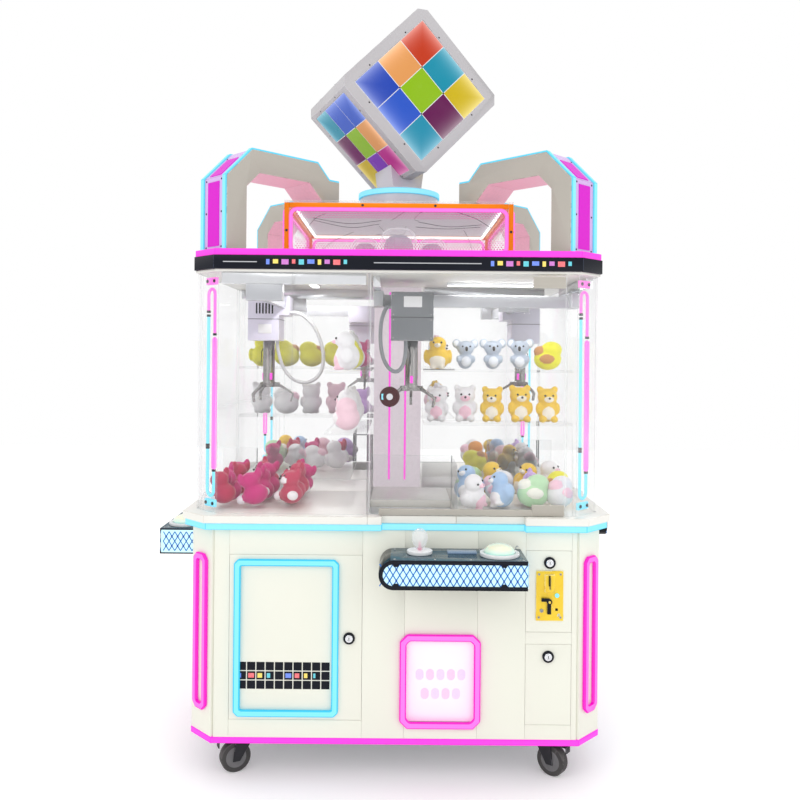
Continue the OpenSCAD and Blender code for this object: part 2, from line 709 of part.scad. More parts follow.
module light_box_frame() color("orange") for (i = [0:3]) station(i) {
    b = lamp_bar;
    box(-lamp_r, b - lamp_r, -lamp_r, b - lamp_r, roof_z, lamp_top - 8 - seam);
    for (z = [roof_z, lamp_top - 8 - seam - b])
        box(b - lamp_r + seam, lamp_r - b - seam, -lamp_r, b - lamp_r, z, z + b);
}

module light_box_panels() color("white") {
    b = lamp_bar;
    for (i = [0:3]) station(i)
        box(b - lamp_r + seam, lamp_r - b - seam, 4 - lamp_r, 8 - lamp_r, roof_z + b + seam, lamp_top - 8 - b - 2 * seam);
    box(-lamp_r, lamp_r, -lamp_r, lamp_r, lamp_top - 8, lamp_top);
}

module roof_arches() color("lightgray") for (i = [0:3]) rotate([0, 0, 45 + 90 * i])
    translate([0, arch_w / 2, seam]) rotate([90, 0, 0]) linear_extrude(arch_w) arch_profile(0);

module turntable_housing() color("gainsboro") translate([0, 0, lamp_top + seam])
    cylinder(r = turn_r, h = turn_h - seam, $fn = 96);

// Lays children out in the cube's own axes: x across, y along its level axis, z up
module cube_axes() translate([0, 0, cube_z]) rotate([0, 0, cube_yaw]) children();

module turntable_disc() color("lavender") {
    translate([0, 0, turn_top + run]) cylinder(r = turn_r - 24, h = 8, $fn = 96);
    drop = cube_w * sqrt(2) / 2;
    seat = seam * sqrt(2);
    flat = cube_cut / sqrt(2);
    cube_axes() translate([0, 90, 0]) rotate([90, 0, 0]) linear_extrude(180)
        polygon([[-60, run + 8 - cube_gap - drop], [60, run + 8 - cube_gap - drop], [72, 72 - seat - drop],
            [flat, flat - seat - drop], [-flat, flat - seat - drop], [-72, 72 - seat - drop]]);
}

module cube_outline(r, cut) polygon(octagon(r, cut));

module cube_frame() color("silver") cube_axes() rotate([0, 45, 0]) difference() {
    r = cube_w / 2;
    w = r - cube_rim;
    translate([0, r, 0]) rotate([90, 0, 0]) linear_extrude(cube_w) cube_outline(r, cube_cut);
    cube([2 * r - 30, 2 * r - 30, 2 * r - 30], center = true);
    cube([2 * w, 2 * w, 3 * r], center = true);
    cube([2 * w, 3 * r, 2 * w], center = true);
    cube([3 * r, 2 * w, 2 * w], center = true);
}

module cube_tiles() color("mediumblue") cube_axes() rotate([0, 45, 0]) {
    r = cube_w / 2;
    w = r - cube_rim - seam;
    for (a = [[0, 0], [90, 0], [180, 0], [270, 0], [0, 90], [0, -90]])
        rotate([0, a[0], 0]) rotate([a[1], 0, 0]) box(-w, w, -w, w, r - 14, r - 1);
}

// ---- Prizes and hoses ----

module plush(x, y, z, r) translate([x, y, z + seam]) {
    translate([0, 0, r]) sphere(r = r);
    translate([0, 0, r * 2.1]) sphere(r = r * 0.85);
}

module plush_toys() color("plum") for (i = [0:3]) station(i) {
    for (k = [0:4], z = [shelf_low + 8, shelf_high + 8])
        plush(155 + 106 * k, wall_y - shelf_d / 2, deck_top + z, plush_r);
    for (k = [0:3], j = [0:2])
        plush(262 + 98 * k, -585 + 112 * j, deck_top, plush_r + 6);
}

// A round tube swept along points, as one closed polyhedron
function unit(v) = v / norm(v);
function along(p, i) = unit(p[min(i + 1, len(p) - 1)] - p[max(i - 1, 0)]);
function side(d) = unit(cross(d, [0.31, 0.9, 0.3]));

module tube(p, r, n) {
    rings = [for (i = [0:len(p) - 1]) let (d = along(p, i), a = side(d), b = cross(d, a))
        for (k = [0:n - 1]) p[i] + r * cos(360 * k / n) * a + r * sin(360 * k / n) * b];
    last = (len(p) - 1) * n;
    walls = [for (i = [0:len(p) - 2], k = [0:n - 1]) let (m = (k + 1) % n)
        [i * n + k, i * n + m, (i + 1) * n + m, (i + 1) * n + k]];
    polyhedron(rings, concat(walls, [[for (k = [n - 1:-1:0]) k]], [[for (k = [0:n - 1]) last + k]]));
}

module hose_front() color("gray") tube([for (p = hose_front_pts) p + [crane_at[0][0], crane_at[0][1], 0]],
    hose_r, hose_sides);

module hose_left() color("gray") tube(hose_left_pts, hose_r, hose_sides);

base_frame();
cabinet_panels();
deck();
pink_led_strips();
cyan_led_strips();
neon_loops();
caster_fork(0);  // caster_fork_fl
caster_fork(1);  // caster_fork_fr
caster_fork(2);  // caster_fork_rl
caster_fork(3);  // caster_fork_rr
caster_wheel(0);  // caster_wheel_fl
caster_wheel(1);  // caster_wheel_fr
caster_wheel(2);  // caster_wheel_rl
caster_wheel(3);  // caster_wheel_rr
service_door();
prize_flap();
coin_door();
coin_plate();
return_lever();
cash_door();
side_doors();
prize_bins();
cabinet_internals();
panel_housings();
panel_grilles();
panel_fittings();
joystick_gimbal();
joystick_stick();
dome_button();
fixed_glass();
glass_door();
glass_door_fittings();
core_column();
bay_partitions();
prize_shelves();
prize_chutes();
corner_neon_tubes();
gantry_rails();
bridge();
trolley();
claw_body();
claw_finger(0);  // claw_finger_a
claw_finger(1);  // claw_finger_b
claw_finger(2);  // claw_finger_c
whole_crane(3);  // crane_left
whole_crane(1);  // crane_right
whole_crane(2);  // crane_rear
header();
header_fascia();
light_box_frame();
light_box_panels();
roof_arches();
turntable_housing();
turntable_disc();
cube_frame();
cube_tiles();
plush_toys();
hose_front();
hose_left();
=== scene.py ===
import json
import math
import random

import bmesh
import bpy
from mathutils import Euler, Matrix, Vector

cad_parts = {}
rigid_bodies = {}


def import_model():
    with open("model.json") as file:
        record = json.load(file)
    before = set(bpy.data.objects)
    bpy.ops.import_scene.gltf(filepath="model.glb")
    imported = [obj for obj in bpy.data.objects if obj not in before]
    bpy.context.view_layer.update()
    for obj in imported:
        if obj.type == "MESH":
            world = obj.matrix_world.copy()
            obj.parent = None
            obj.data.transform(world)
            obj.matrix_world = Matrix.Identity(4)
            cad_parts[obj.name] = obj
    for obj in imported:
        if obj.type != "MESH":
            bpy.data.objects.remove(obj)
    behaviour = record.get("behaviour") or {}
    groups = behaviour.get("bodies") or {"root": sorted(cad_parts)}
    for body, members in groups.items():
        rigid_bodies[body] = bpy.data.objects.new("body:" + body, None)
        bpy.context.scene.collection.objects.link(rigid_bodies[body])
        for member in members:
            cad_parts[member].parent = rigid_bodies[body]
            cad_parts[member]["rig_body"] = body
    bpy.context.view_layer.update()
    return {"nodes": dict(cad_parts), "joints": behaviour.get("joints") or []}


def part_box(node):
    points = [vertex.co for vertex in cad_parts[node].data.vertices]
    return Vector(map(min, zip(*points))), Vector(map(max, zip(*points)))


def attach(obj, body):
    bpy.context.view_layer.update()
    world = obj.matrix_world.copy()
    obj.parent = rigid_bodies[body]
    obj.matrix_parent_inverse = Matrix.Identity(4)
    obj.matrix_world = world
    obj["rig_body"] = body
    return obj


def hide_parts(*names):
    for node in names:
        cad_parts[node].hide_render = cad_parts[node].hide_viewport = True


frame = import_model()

scene = bpy.context.scene
upright = Matrix.Identity(4)
stations = [Matrix.Rotation(math.radians(90 * i), 4, "Z") for i in range(4)]
corners = [Matrix.Rotation(math.radians(45 + 90 * i), 4, "Z") for i in range(4)]
print("frame loaded,", len(frame["nodes"]), "nodes")


# camera, straight ahead and a little above the deck, with a slight roll

view = {"spot": (0, -3.395, 1.392), "lens": 37.575, "shift": (0.0029, -0.05625), "roll": 0.5}
lens = bpy.data.cameras.new("camera")
lens.lens = view["lens"]
lens.shift_x, lens.shift_y = view["shift"]
camera = bpy.data.objects.new("camera", lens)
camera.location = view["spot"]
camera.rotation_euler = (Matrix.Rotation(math.radians(90), 3, "X") @
                         Matrix.Rotation(math.radians(view["roll"]), 3, "Z")).to_euler()
scene.collection.objects.link(camera)
scene.camera = camera


# helpers: node graphs

class Field:
    # a socket that can stand in a sum
    def __init__(self, graph, socket):
        self.graph = graph
        self.socket = socket

    def sum(self, operation, first, second):
        return self.graph.node("ShaderNodeMath", {"operation": operation}, {0: first, 1: second})

    def __add__(self, other):
        return self.sum("ADD", self, other)

    def __radd__(self, other):
        return self.sum("ADD", other, self)

    def __sub__(self, other):
        return self.sum("SUBTRACT", self, other)

    def __rsub__(self, other):
        return self.sum("SUBTRACT", other, self)

    def __mul__(self, other):
        return self.sum("MULTIPLY", self, other)

    def __rmul__(self, other):
        return self.sum("MULTIPLY", other, self)

    def __truediv__(self, other):
        return self.sum("DIVIDE", self, other)

    def __rtruediv__(self, other):
        return self.sum("DIVIDE", other, self)

    def __gt__(self, other):
        return self.sum("GREATER_THAN", self, other)

    def __lt__(self, other):
        return self.sum("LESS_THAN", self, other)

    def __pow__(self, other):
        return self.sum("POWER", self, other)


class Graph:
    def node(self, kind, settings=None, sockets=None, out=0):
        made = self.tree.nodes.new(kind)
        for key, value in (settings or {}).items():
            setattr(made, key, value)
        for key, value in (sockets or {}).items():
            socket = made.inputs[key]
            for part in value if isinstance(value, list) else [value]:
                if isinstance(part, Field):
                    self.tree.links.new(part.socket, socket)
                elif socket.type == "RGBA":
                    socket.default_value = (*part, 1)
                else:
                    socket.default_value = part
        return Field(self, made.outputs[out]) if len(made.outputs) else None


class Surface(Graph):
    # one material
    def __init__(self, name):
        self.material = bpy.data.materials.new(name)
        self.material.use_nodes = True
        self.tree = self.material.node_tree
        self.tree.nodes.clear()

    def place(self):
        return self.node("ShaderNodeTexCoord", out="Object")

    def noise(self, scale, detail=2.0):
        sockets = {"Vector": self.place(), "Scale": scale, "Detail": detail}
        return self.node("ShaderNodeTexNoise", None, sockets)

    def attribute(self, name, out="Fac"):
        return self.node("ShaderNodeAttribute", {"attribute_name": name}, None, out)

    def mix(self, factor, first, second):
        return self.node("ShaderNodeMix", {"data_type": "RGBA"}, {0: factor, 6: first, 7: second}, 2)

    def tinted(self, first, second):
        return self.node("ShaderNodeVectorMath", {"operation": "MULTIPLY"}, {0: first, 1: second})

    def bump(self, height, strength, depth=0.001):
        return self.node("ShaderNodeBump", None, {"Height": height, "Strength": strength, "Distance": depth})

    def facing(self):
        return self.node("ShaderNodeLayerWeight", None, {"Blend": 0.35}, "Facing")

    def done(self, **sockets):
        names = {"colour": "Base Color", "rough": "Roughness", "metal": "Metallic", "coat": "Coat Weight",
                 "coatRough": "Coat Roughness", "alpha": "Alpha", "glow": "Emission Color",
                 "power": "Emission Strength", "normal": "Normal", "sheen": "Sheen Weight",
                 "sheenRough": "Sheen Roughness", "soft": "Subsurface Weight",
                 "specular": "Specular IOR Level"}
        shader = self.node("ShaderNodeBsdfPrincipled", None, {names[k]: v for k, v in sockets.items()})
        self.node("ShaderNodeOutputMaterial", None, {"Surface": shader})
        return self.material


class Pattern(Graph):
    # one geometry tree, whose inputs are named
    def __init__(self, name, inputs):
        self.tree = bpy.data.node_groups.new(name, "GeometryNodeTree")
        face = self.tree.interface
        face.new_socket("Geometry", in_out="INPUT", socket_type="NodeSocketGeometry")
        self.keys = {}
        for label, (kind, value) in inputs.items():
            made = face.new_socket(label, in_out="INPUT", socket_type="NodeSocket" + kind)
            if value is not None:
                made.default_value = value
            self.keys[label] = made.identifier
        face.new_socket("Geometry", in_out="OUTPUT", socket_type="NodeSocketGeometry")
        self.start = self.tree.nodes.new("NodeGroupInput")

    def given(self, label):
        return Field(self, self.start.outputs[label])

    def vector(self, x, y, z):
        return self.node("ShaderNodeCombineXYZ", None, {"X": x, "Y": y, "Z": z})

    def moved(self, geometry, by=(0, 0, 0), turn=(0, 0, 0)):
        sockets = {"Geometry": geometry, "Translation": by, "Rotation": turn}
        return self.node("GeometryNodeTransform", None, sockets)

    def named(self, label, kind="FLOAT_VECTOR"):
        return self.node("GeometryNodeInputNamedAttribute", {"data_type": kind}, {"Name": label})

    def marked(self, geometry, label, value):
        settings = {"data_type": "FLOAT", "domain": "POINT"}
        sockets = {"Geometry": geometry, "Name": label, "Value": value}
        return self.node("GeometryNodeStoreNamedAttribute", settings, sockets)

    def joined(self, *parts):
        return self.node("GeometryNodeJoinGeometry", None, {"Geometry": list(parts)})

    def ends(self, geometry):
        real = self.node("GeometryNodeRealizeInstances", None, {"Geometry": geometry})
        coated = self.node("GeometryNodeSetMaterial", None,
                           {"Geometry": real, "Material": self.given("Finish")})
        self.node("NodeGroupOutput", None, {"Geometry": coated})
        return self


# helpers: meshes and pieces

class Shape:
    # solids gathered into one mesh; tint colours what is added next, spread maps it
    def __init__(self, at=upright):
        self.mesh = bmesh.new()
        self.tintLayer = self.mesh.loops.layers.float_color.new("tint")
        self.mapLayer = self.mesh.loops.layers.uv.new("spread")
        self.at = at
        self.tint = (1, 1, 1)

    def settle(self, verts, at=upright, spread=None):
        faces = list({face for vert in verts for face in vert.link_faces})
        bmesh.ops.recalc_face_normals(self.mesh, faces=faces)
        for face in faces:
            for loop in face.loops:
                loop[self.tintLayer] = (*self.tint, 1)
                if spread:
                    loop[self.mapLayer].uv = spread(loop.vert.co)
        bmesh.ops.transform(self.mesh, matrix=self.at @ at, verts=verts)

    def block(self, low, high, at=upright, rim=0.0, spread=None):
        verts = bmesh.ops.create_cube(self.mesh, size=1.0)["verts"]
        for vert in verts:
            for k in range(3):
                vert.co[k] = low[k] if vert.co[k] < 0 else high[k]
        if rim:
            edges = list({edge for vert in verts for edge in vert.link_edges})
            made = bmesh.ops.bevel(self.mesh, geom=edges, offset=rim, segments=2, profile=0.5, affect="EDGES")
            verts = list({vert for vert in made["verts"]} | {v for f in made["faces"] for v in f.verts})
            verts = self.whole(verts)
        self.settle(verts, at, spread)

    def whole(self, verts):
        # everything joined to these verts
        seen = set(verts)
        front = list(verts)
        while front:
            vert = front.pop()
            for edge in vert.link_edges:
                other = edge.other_vert(vert)
                if other not in seen:
                    seen.add(other)
                    front.append(other)
        return list(seen)

    def lathe(self, profile, sides=24, at=upright):
        # profile runs from the bottom of the axis to the top, as (radius, height)
        rings = []
        verts = []
        for radius, height in profile:
            if radius < 1e-6:
                ring = [self.mesh.verts.new((0, 0, height))]
            else:
                angles = [math.tau * k / sides for k in range(sides)]
                ring = [self.mesh.verts.new((radius * math.cos(a), radius * math.sin(a), height))
                        for a in angles]
            rings.append(ring)
            verts += ring
        for low, high in zip(rings, rings[1:]):
            for k in range(sides):
                quad = [low[k % len(low)], low[(k + 1) % len(low)], high[(k + 1) % len(high)],
                        high[k % len(high)]]
                corners4 = []
                for vert in quad:
                    if vert not in corners4:
                        corners4.append(vert)
                if len(corners4) > 2:
                    self.mesh.faces.new(corners4)
        for ring in (rings[0], rings[-1]):
            if len(ring) > 2:
                self.mesh.faces.new(ring)
        self.settle(verts, at)

    def sweep(self, path, radius, sides=8, at=upright, closed=False):
        # a tube along points; radius may be a list
        points = [Vector(p) for p in path]
        count = len(points)
        size = radius if isinstance(radius, (list, tuple)) else [radius] * count
        side = None
        rings = []
        for k, point in enumerate(points):
            ahead = points[(k + 1) % count] if closed or k < count - 1 else point
            behind = points[k - 1] if closed or k else point
            along = (ahead - behind).normalized()
            if side is None:
                guess = Vector((0, 0, 1)) if abs(along.z) < 0.9 else Vector((1, 0, 0))
                side = along.cross(guess)
            side = (side - along * side.dot(along)).normalized()
            up = along.cross(side)
            ring = []
            for j in range(sides):
                angle = math.tau * (j + 0.5) / sides
                offset = side * (math.cos(angle) * size[k]) + up * (math.sin(angle) * size[k])
                ring.append(self.mesh.verts.new(point + offset))
            rings.append(ring)
        pairs = list(zip(rings, rings[1:] + rings[:1])) if closed else list(zip(rings, rings[1:]))
        for low, high in pairs:
            for j in range(sides):
                self.mesh.faces.new((low[j], low[(j + 1) % sides], high[(j + 1) % sides], high[j]))
        if not closed:
            self.mesh.faces.new(rings[0])
            self.mesh.faces.new(rings[-1])
        self.settle([vert for ring in rings for vert in ring], at)

    def plate(self, outline, low, high, at=upright, spread=None):
        # an outline in x and y, thick from low to high
        base = [self.mesh.verts.new((x, y, low)) for x, y in outline]
        top = [self.mesh.verts.new((x, y, high)) for x, y in outline]
        self.mesh.faces.new(base)
        self.mesh.faces.new(top)
        for k in range(len(base)):
            j = (k + 1) % len(base)
            self.mesh.faces.new((base[k], base[j], top[j], top[k]))
        self.settle(base + top, at, spread)

    def ball(self, centre, size):
        verts = bmesh.ops.create_icosphere(self.mesh, subdivisions=3, radius=1.0)["verts"]
        place = Matrix.Translation(centre) @ Matrix.Diagonal((*size, 1))
        bmesh.ops.transform(self.mesh, matrix=place, verts=verts)
        self.settle(verts)

    def made(self, name, smooth=40):
        mesh = bpy.data.meshes.new(name)
        self.mesh.to_mesh(mesh)
        self.mesh.free()
        mesh.shade_smooth()
        mesh.set_sharp_from_angle(angle=math.radians(smooth))
        return mesh


def addPiece(name, mesh, finish, body, slot, instead=()):
    mesh.materials.clear()
    mesh.materials.append(finish)
    piece = bpy.data.objects.new(name, mesh)
    scene.collection.objects.link(piece)
    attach(piece, body)
    if instead:
        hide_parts(*instead)
    return piece


def baked(source):
    # the mesh that an object's modifiers give
    bpy.context.view_layer.update()
    graph = bpy.context.evaluated_depsgraph_get()
    mesh = bpy.data.meshes.new_from_object(source.evaluated_get(graph), depsgraph=graph)
    bpy.data.objects.remove(source)
    return mesh


def grown(name, mesh, pattern, inputs, finish):
    # the mesh that a geometry tree makes from another mesh
    source = bpy.data.objects.new(name, mesh)
    scene.collection.objects.link(source)
    modifier = source.modifiers.new("pattern", "NODES")
    modifier.node_group = pattern.tree
    for label, value in {**inputs, "Finish": finish}.items():
        modifier[pattern.keys[label]] = value
    result = baked(source)
    result.name = name
    return result


sharp = {"bevel": math.radians(32), "flat": math.radians(1.5), "join": 0.00002}


def bevelled(mesh, width):
    # the same solid with its edges broken; narrow new faces get the attribute edge
    source = bpy.data.objects.new("bevelled", mesh)
    scene.collection.objects.link(source)
    mesh.shade_smooth()
    bevel = source.modifiers.new("bevel", "BEVEL")
    bevel.width = width
    bevel.segments = 2
    bevel.limit_method = "ANGLE"
    bevel.angle_limit = sharp["bevel"]
    bevel.use_clamp_overlap = False
    bevel.harden_normals = True
    bevel.miter_outer = "MITER_ARC"
    result = baked(source)
    edge = result.attributes.new("edge", "FLOAT", "FACE")
    around = [0.0] * len(result.polygons)
    for face in result.polygons:
        ends = [result.vertices[k].co for k in face.vertices]
        length = max((b - a).length for a, b in zip(ends, ends[1:] + ends[:1]))
        if face.area < length * width * 1.1:
            around[face.index] = 1.0
    edge.data.foreach_set("value", around)
    return result


def solidsOf(shape):
    # the separate solids in a merged mesh
    left = set(shape.verts)
    groups = []
    while left:
        group = {left.pop()}
        front = list(group)
        while front:
            vert = front.pop()
            near = {edge.other_vert(vert) for edge in vert.link_edges} - group
            group |= near
            front += near
        left -= group
        groups.append(group)
    return groups


# their large faces run round a hole, which a bevel would close
ringNodes = ("cyan_led_strips", "pink_led_strips")


def refine(node, coat, slot, width, pick=None, name=None):
    # a CAD node's solids with broken edges and clean shading; pick takes a solid's box and says if it stays
    shape = bmesh.new()
    shape.from_mesh(frame["nodes"][node].data)
    bmesh.ops.remove_doubles(shape, verts=shape.verts, dist=sharp["join"])
    if pick:
        for group in solidsOf(shape):
            low = Vector(min(v.co[k] for v in group) for k in range(3))
            high = Vector(max(v.co[k] for v in group) for k in range(3))
            if not pick(low, high):
                bmesh.ops.delete(shape, geom=list(group), context="VERTS")
    bmesh.ops.dissolve_limit(shape, angle_limit=sharp["flat"], verts=shape.verts, edges=shape.edges)
    if node in ringNodes:
        bmesh.ops.triangulate(shape, faces=[face for face in shape.faces if len(face.verts) > 10])
    mesh = bpy.data.meshes.new(node)
    shape.to_mesh(mesh)
    shape.free()
    mesh.materials.clear()
    result = bevelled(mesh, width)
    body = frame["nodes"][node]["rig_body"]
    return addPiece(name or node + "_shown", result, finish[coat], body, slot, (node,))


def roundedPath(x0, x1, z0, z1, radius, steps=6):
    # a closed rounded rectangle, anticlockwise
    path = []
    for cx, cz, first in ((x1 - radius, z1 - radius, 0), (x0 + radius, z1 - radius, 90),
                          (x0 + radius, z0 + radius, 180), (x1 - radius, z0 + radius, 270)):
        for k in range(steps + 1):
            angle = math.radians(first + 90 * k / steps)
            path.append((cx + radius * math.cos(angle), cz + radius * math.sin(angle)))
    return path


# cords: the two crane hoses, along the routes that the frame gives them

hoses = {
    "front": {
        "body": "trolley", "shift": (0.05, -0.4, 0), "radius": 0.007,
        "points": [(-0.0752, -0.05, 1.56), (-0.09, -0.05, 1.56), (-0.106, -0.062, 1.52),
                   (-0.111, -0.068, 1.47), (-0.108, -0.07, 1.415), (-0.096, -0.07, 1.37),
                   (-0.074, -0.069, 1.34), (-0.05, -0.064, 1.335), (-0.032, -0.055, 1.355),
                   (-0.024, -0.046, 1.388), (-0.022, -0.038, 1.418), (-0.022, -0.038, 1.443)]},
    "left": {
        "body": "crane_left", "shift": (0, 0, 0), "radius": 0.007,
        "points": [(-0.4157, -0.19, 1.551), (-0.392, -0.19, 1.551), (-0.36, -0.188, 1.537),
                   (-0.325, -0.185, 1.502), (-0.3, -0.182, 1.45), (-0.287, -0.18, 1.395),
                   (-0.29, -0.178, 1.34), (-0.312, -0.176, 1.302), (-0.348, -0.174, 1.284),
                   (-0.388, -0.172, 1.288), (-0.422, -0.17, 1.312), (-0.446, -0.168, 1.35),
                   (-0.459, -0.167, 1.392), (-0.465, -0.166, 1.422), (-0.465, -0.166, 1.443)]}}


def smoothed(points, steps=6):
    # a Catmull-Rom line through the points, evenly walked
    ends = [points[0] * 2 - points[1], *points, points[-1] * 2 - points[-2]]
    line = []
    for a, b, c, d in zip(ends, ends[1:], ends[2:], ends[3:]):
        for k in range(steps):
            t = k / steps
            line.append(0.5 * (2 * b + (c - a) * t + (2 * a - 5 * b + 4 * c - d) * t ** 2 +
                               (3 * b - a - 3 * c + d) * t ** 3))
    return line + [points[-1]]


def makeHose(key, finish):
    hose = hoses[key]
    points = [Vector(p) + Vector(hose["shift"]) for p in hose["points"]]
    shape = Shape()
    path = smoothed(points)
    length = sum((b - a).length for a, b in zip(path, path[1:]))
    count = int(length / 0.0022)
    walk = evenly(path, count)
    # corrugated skin
    radii = [hose["radius"] * (1.04 if k % 2 else 0.95) for k in range(len(walk))]
    shape.sweep(walk, radii, 10)
    piece = addPiece("hose_" + key + "_shown", shape.made("hose"), finish, hose["body"], "grey_hose",
                     ("hose_" + key,))
    tuple(points[0])
    [tuple(p) for p in walk[::4] + walk[-1:]]
    return length


def evenly(path, count):
    # the same line in equal steps
    lengths = [0.0]
    for a, b in zip(path, path[1:]):
        lengths.append(lengths[-1] + (b - a).length)
    walk = []
    k = 0
    for step in range(count + 1):
        goal = lengths[-1] * step / count
        while k < len(path) - 2 and lengths[k + 1] < goal:
            k += 1
        share = (goal - lengths[k]) / (lengths[k + 1] - lengths[k])
        walk.append(path[k].lerp(path[k + 1], min(max(share, 0), 1)))
    return walk


# finishes

plain = {
    "ivoryLaminate": {"colour": (0.82, 0.82, 0.725), "shade": (0.77, 0.77, 0.675), "patch": 2.2, "grain": 900,
                      "rough": (0.30, 0.42), "bump": 0.035, "edge": (0.76, 0.75, 0.67)},
    "deckBoard": {"colour": (0.84, 0.825, 0.78), "shade": (0.77, 0.755, 0.70), "patch": 4.0, "grain": 700,
                  "rough": (0.28, 0.40), "bump": 0.03, "edge": (0.72, 0.69, 0.62), "coat": 0.3},
    "steelPlate": {"colour": (0.36, 0.37, 0.39), "shade": (0.30, 0.31, 0.33), "patch": 9.0, "grain": 260,
                   "rough": (0.30, 0.50), "metal": 0.9, "bump": 0.05, "edge": (0.62, 0.63, 0.65)},
    "blackSteel": {"colour": (0.018, 0.019, 0.022), "shade": (0.035, 0.035, 0.04), "patch": 14.0,
                   "grain": 500,
                   "rough": (0.32, 0.5), "metal": 0.3, "specular": 0.2, "bump": 0.08,
                   "edge": (0.16, 0.16, 0.17)},
    "treadRubber": {"colour": (0.028, 0.028, 0.03), "shade": (0.075, 0.072, 0.068), "patch": 40.0,
                    "grain": 900,
                    "rough": (0.6, 0.85), "bump": 0.25, "edge": (0.09, 0.088, 0.084)},
    "blackGloss": {"colour": (0.006, 0.007, 0.011), "shade": (0.010, 0.012, 0.020), "patch": 8.0,
                   "grain": 600,
                   "rough": (0.08, 0.2), "bump": 0.02, "edge": (0.05, 0.06, 0.09), "specular": 0.12},
    "whitePlastic": {"colour": (0.80, 0.80, 0.80), "shade": (0.72, 0.73, 0.75), "patch": 12.0, "grain": 900,
                     "rough": (0.28, 0.42), "bump": 0.03, "edge": (0.88, 0.88, 0.88)},
    "goldPlate": {"colour": (0.93, 0.66, 0.03), "shade": (0.78, 0.50, 0.02), "patch": 24.0, "grain": 500,
                  "rough": (0.26, 0.42), "metal": 0.35, "bump": 0.06, "edge": (1.0, 0.85, 0.32), "coat": 0.4},
    "craneGrey": {"colour": (0.56, 0.57, 0.60), "shade": (0.46, 0.47, 0.50), "patch": 11.0, "grain": 320,
                  "rough": (0.26, 0.44), "metal": 0.55, "bump": 0.045, "edge": (0.80, 0.80, 0.82)},
    "clawMetal": {"colour": (0.33, 0.32, 0.31), "shade": (0.20, 0.19, 0.19), "patch": 20.0, "grain": 240,
                  "rough": (0.10, 0.26), "metal": 1.0, "bump": 0.02, "edge": (0.55, 0.54, 0.53)},
    "brightMetal": {"colour": (0.80, 0.81, 0.83), "shade": (0.66, 0.67, 0.70), "patch": 20.0, "grain": 240,
                    "rough": (0.07, 0.2), "metal": 1.0, "bump": 0.02, "edge": (0.93, 0.93, 0.94)},
    "orangePaint": {"colour": (0.95, 0.27, 0.0), "shade": (0.88, 0.22, 0.0), "patch": 9.0, "grain": 650,
                    "rough": (0.24, 0.38), "bump": 0.04, "edge": (1.0, 0.42, 0.08), "specular": 0.2},
    "lilacGrey": {"colour": (0.62, 0.605, 0.66), "shade": (0.53, 0.515, 0.58), "patch": 5.0, "grain": 700,
                  "rough": (0.26, 0.4), "bump": 0.035, "edge": (0.76, 0.75, 0.80), "coat": 0.3},
    "greyBeige": {"colour": (0.46, 0.43, 0.38), "shade": (0.41, 0.385, 0.34), "patch": 5.0, "grain": 800,
                  "rough": (0.30, 0.44), "bump": 0.035, "edge": (0.60, 0.57, 0.51)},
    "cubeWhite": {"colour": (0.50, 0.485, 0.495), "shade": (0.45, 0.435, 0.45), "patch": 6.0, "grain": 800,
                  "rough": (0.25, 0.38), "bump": 0.03, "edge": (0.62, 0.60, 0.63)},
    "greyHose": {"colour": (0.20, 0.21, 0.23), "shade": (0.28, 0.29, 0.31), "patch": 30.0, "grain": 900,
                 "rough": (0.40, 0.6), "bump": 0.1, "edge": (0.4, 0.4, 0.42)},
    "paleHose": {"colour": (0.56, 0.56, 0.57), "shade": (0.48, 0.48, 0.50), "patch": 30.0, "grain": 900,
                 "rough": (0.36, 0.55), "bump": 0.1, "edge": (0.7, 0.7, 0.7)},
    "craneLilac": {"colour": (0.72, 0.70, 0.82), "shade": (0.62, 0.60, 0.72), "patch": 9.0, "grain": 320,
                   "rough": (0.26, 0.42), "bump": 0.04, "edge": (0.86, 0.85, 0.92)},
    "trolleyGrey": {"colour": (0.20, 0.21, 0.225), "shade": (0.155, 0.165, 0.18), "patch": 9.0, "grain": 320,
                    "rough": (0.28, 0.44), "metal": 0.5, "bump": 0.045, "edge": (0.62, 0.62, 0.64)},
    "headerBeige": {"colour": (0.74, 0.73, 0.69), "shade": (0.68, 0.67, 0.63), "patch": 6.0, "grain": 700,
                    "rough": (0.3, 0.45), "bump": 0.03, "edge": (0.72, 0.70, 0.65), "coat": 0.2},
    "lilacRim": {"colour": (0.66, 0.45, 0.80), "shade": (0.58, 0.38, 0.72), "patch": 8.0, "grain": 700,
                 "rough": (0.26, 0.4), "bump": 0.03, "edge": (0.85, 0.72, 0.92), "coat": 0.3},
    "darkRed": {"colour": (0.035, 0.006, 0.008), "shade": (0.07, 0.008, 0.01), "patch": 20.0, "grain": 600,
                "rough": (0.25, 0.4), "bump": 0.04, "edge": (0.3, 0.04, 0.05), "coat": 0.5}}


def plainFinish(name):
    # faint clouding, fine orange peel, and rubbed edges
    look = plain[name]
    s = Surface(name)
    cloud = s.noise(look["patch"], 4.0)
    grain = s.noise(look["grain"], 2.0)
    rub = s.attribute("edge") * (s.noise(35.0, 3.0) > 0.46)
    body = s.mix(cloud, look["colour"], look["shade"])
    low, high = look["rough"]
    sockets = {"colour": s.mix(rub, body, look["edge"]), "rough": cloud * (high - low) + grain * 0.06 + low,
               "metal": look.get("metal", 0.0), "normal": s.bump(grain, look["bump"], 0.0006)}
    sockets["specular"] = look.get("specular", 0.4)
    if "coat" in look:
        sockets["coat"] = look["coat"]
        sockets["coatRough"] = 0.12
    return s.done(**sockets)


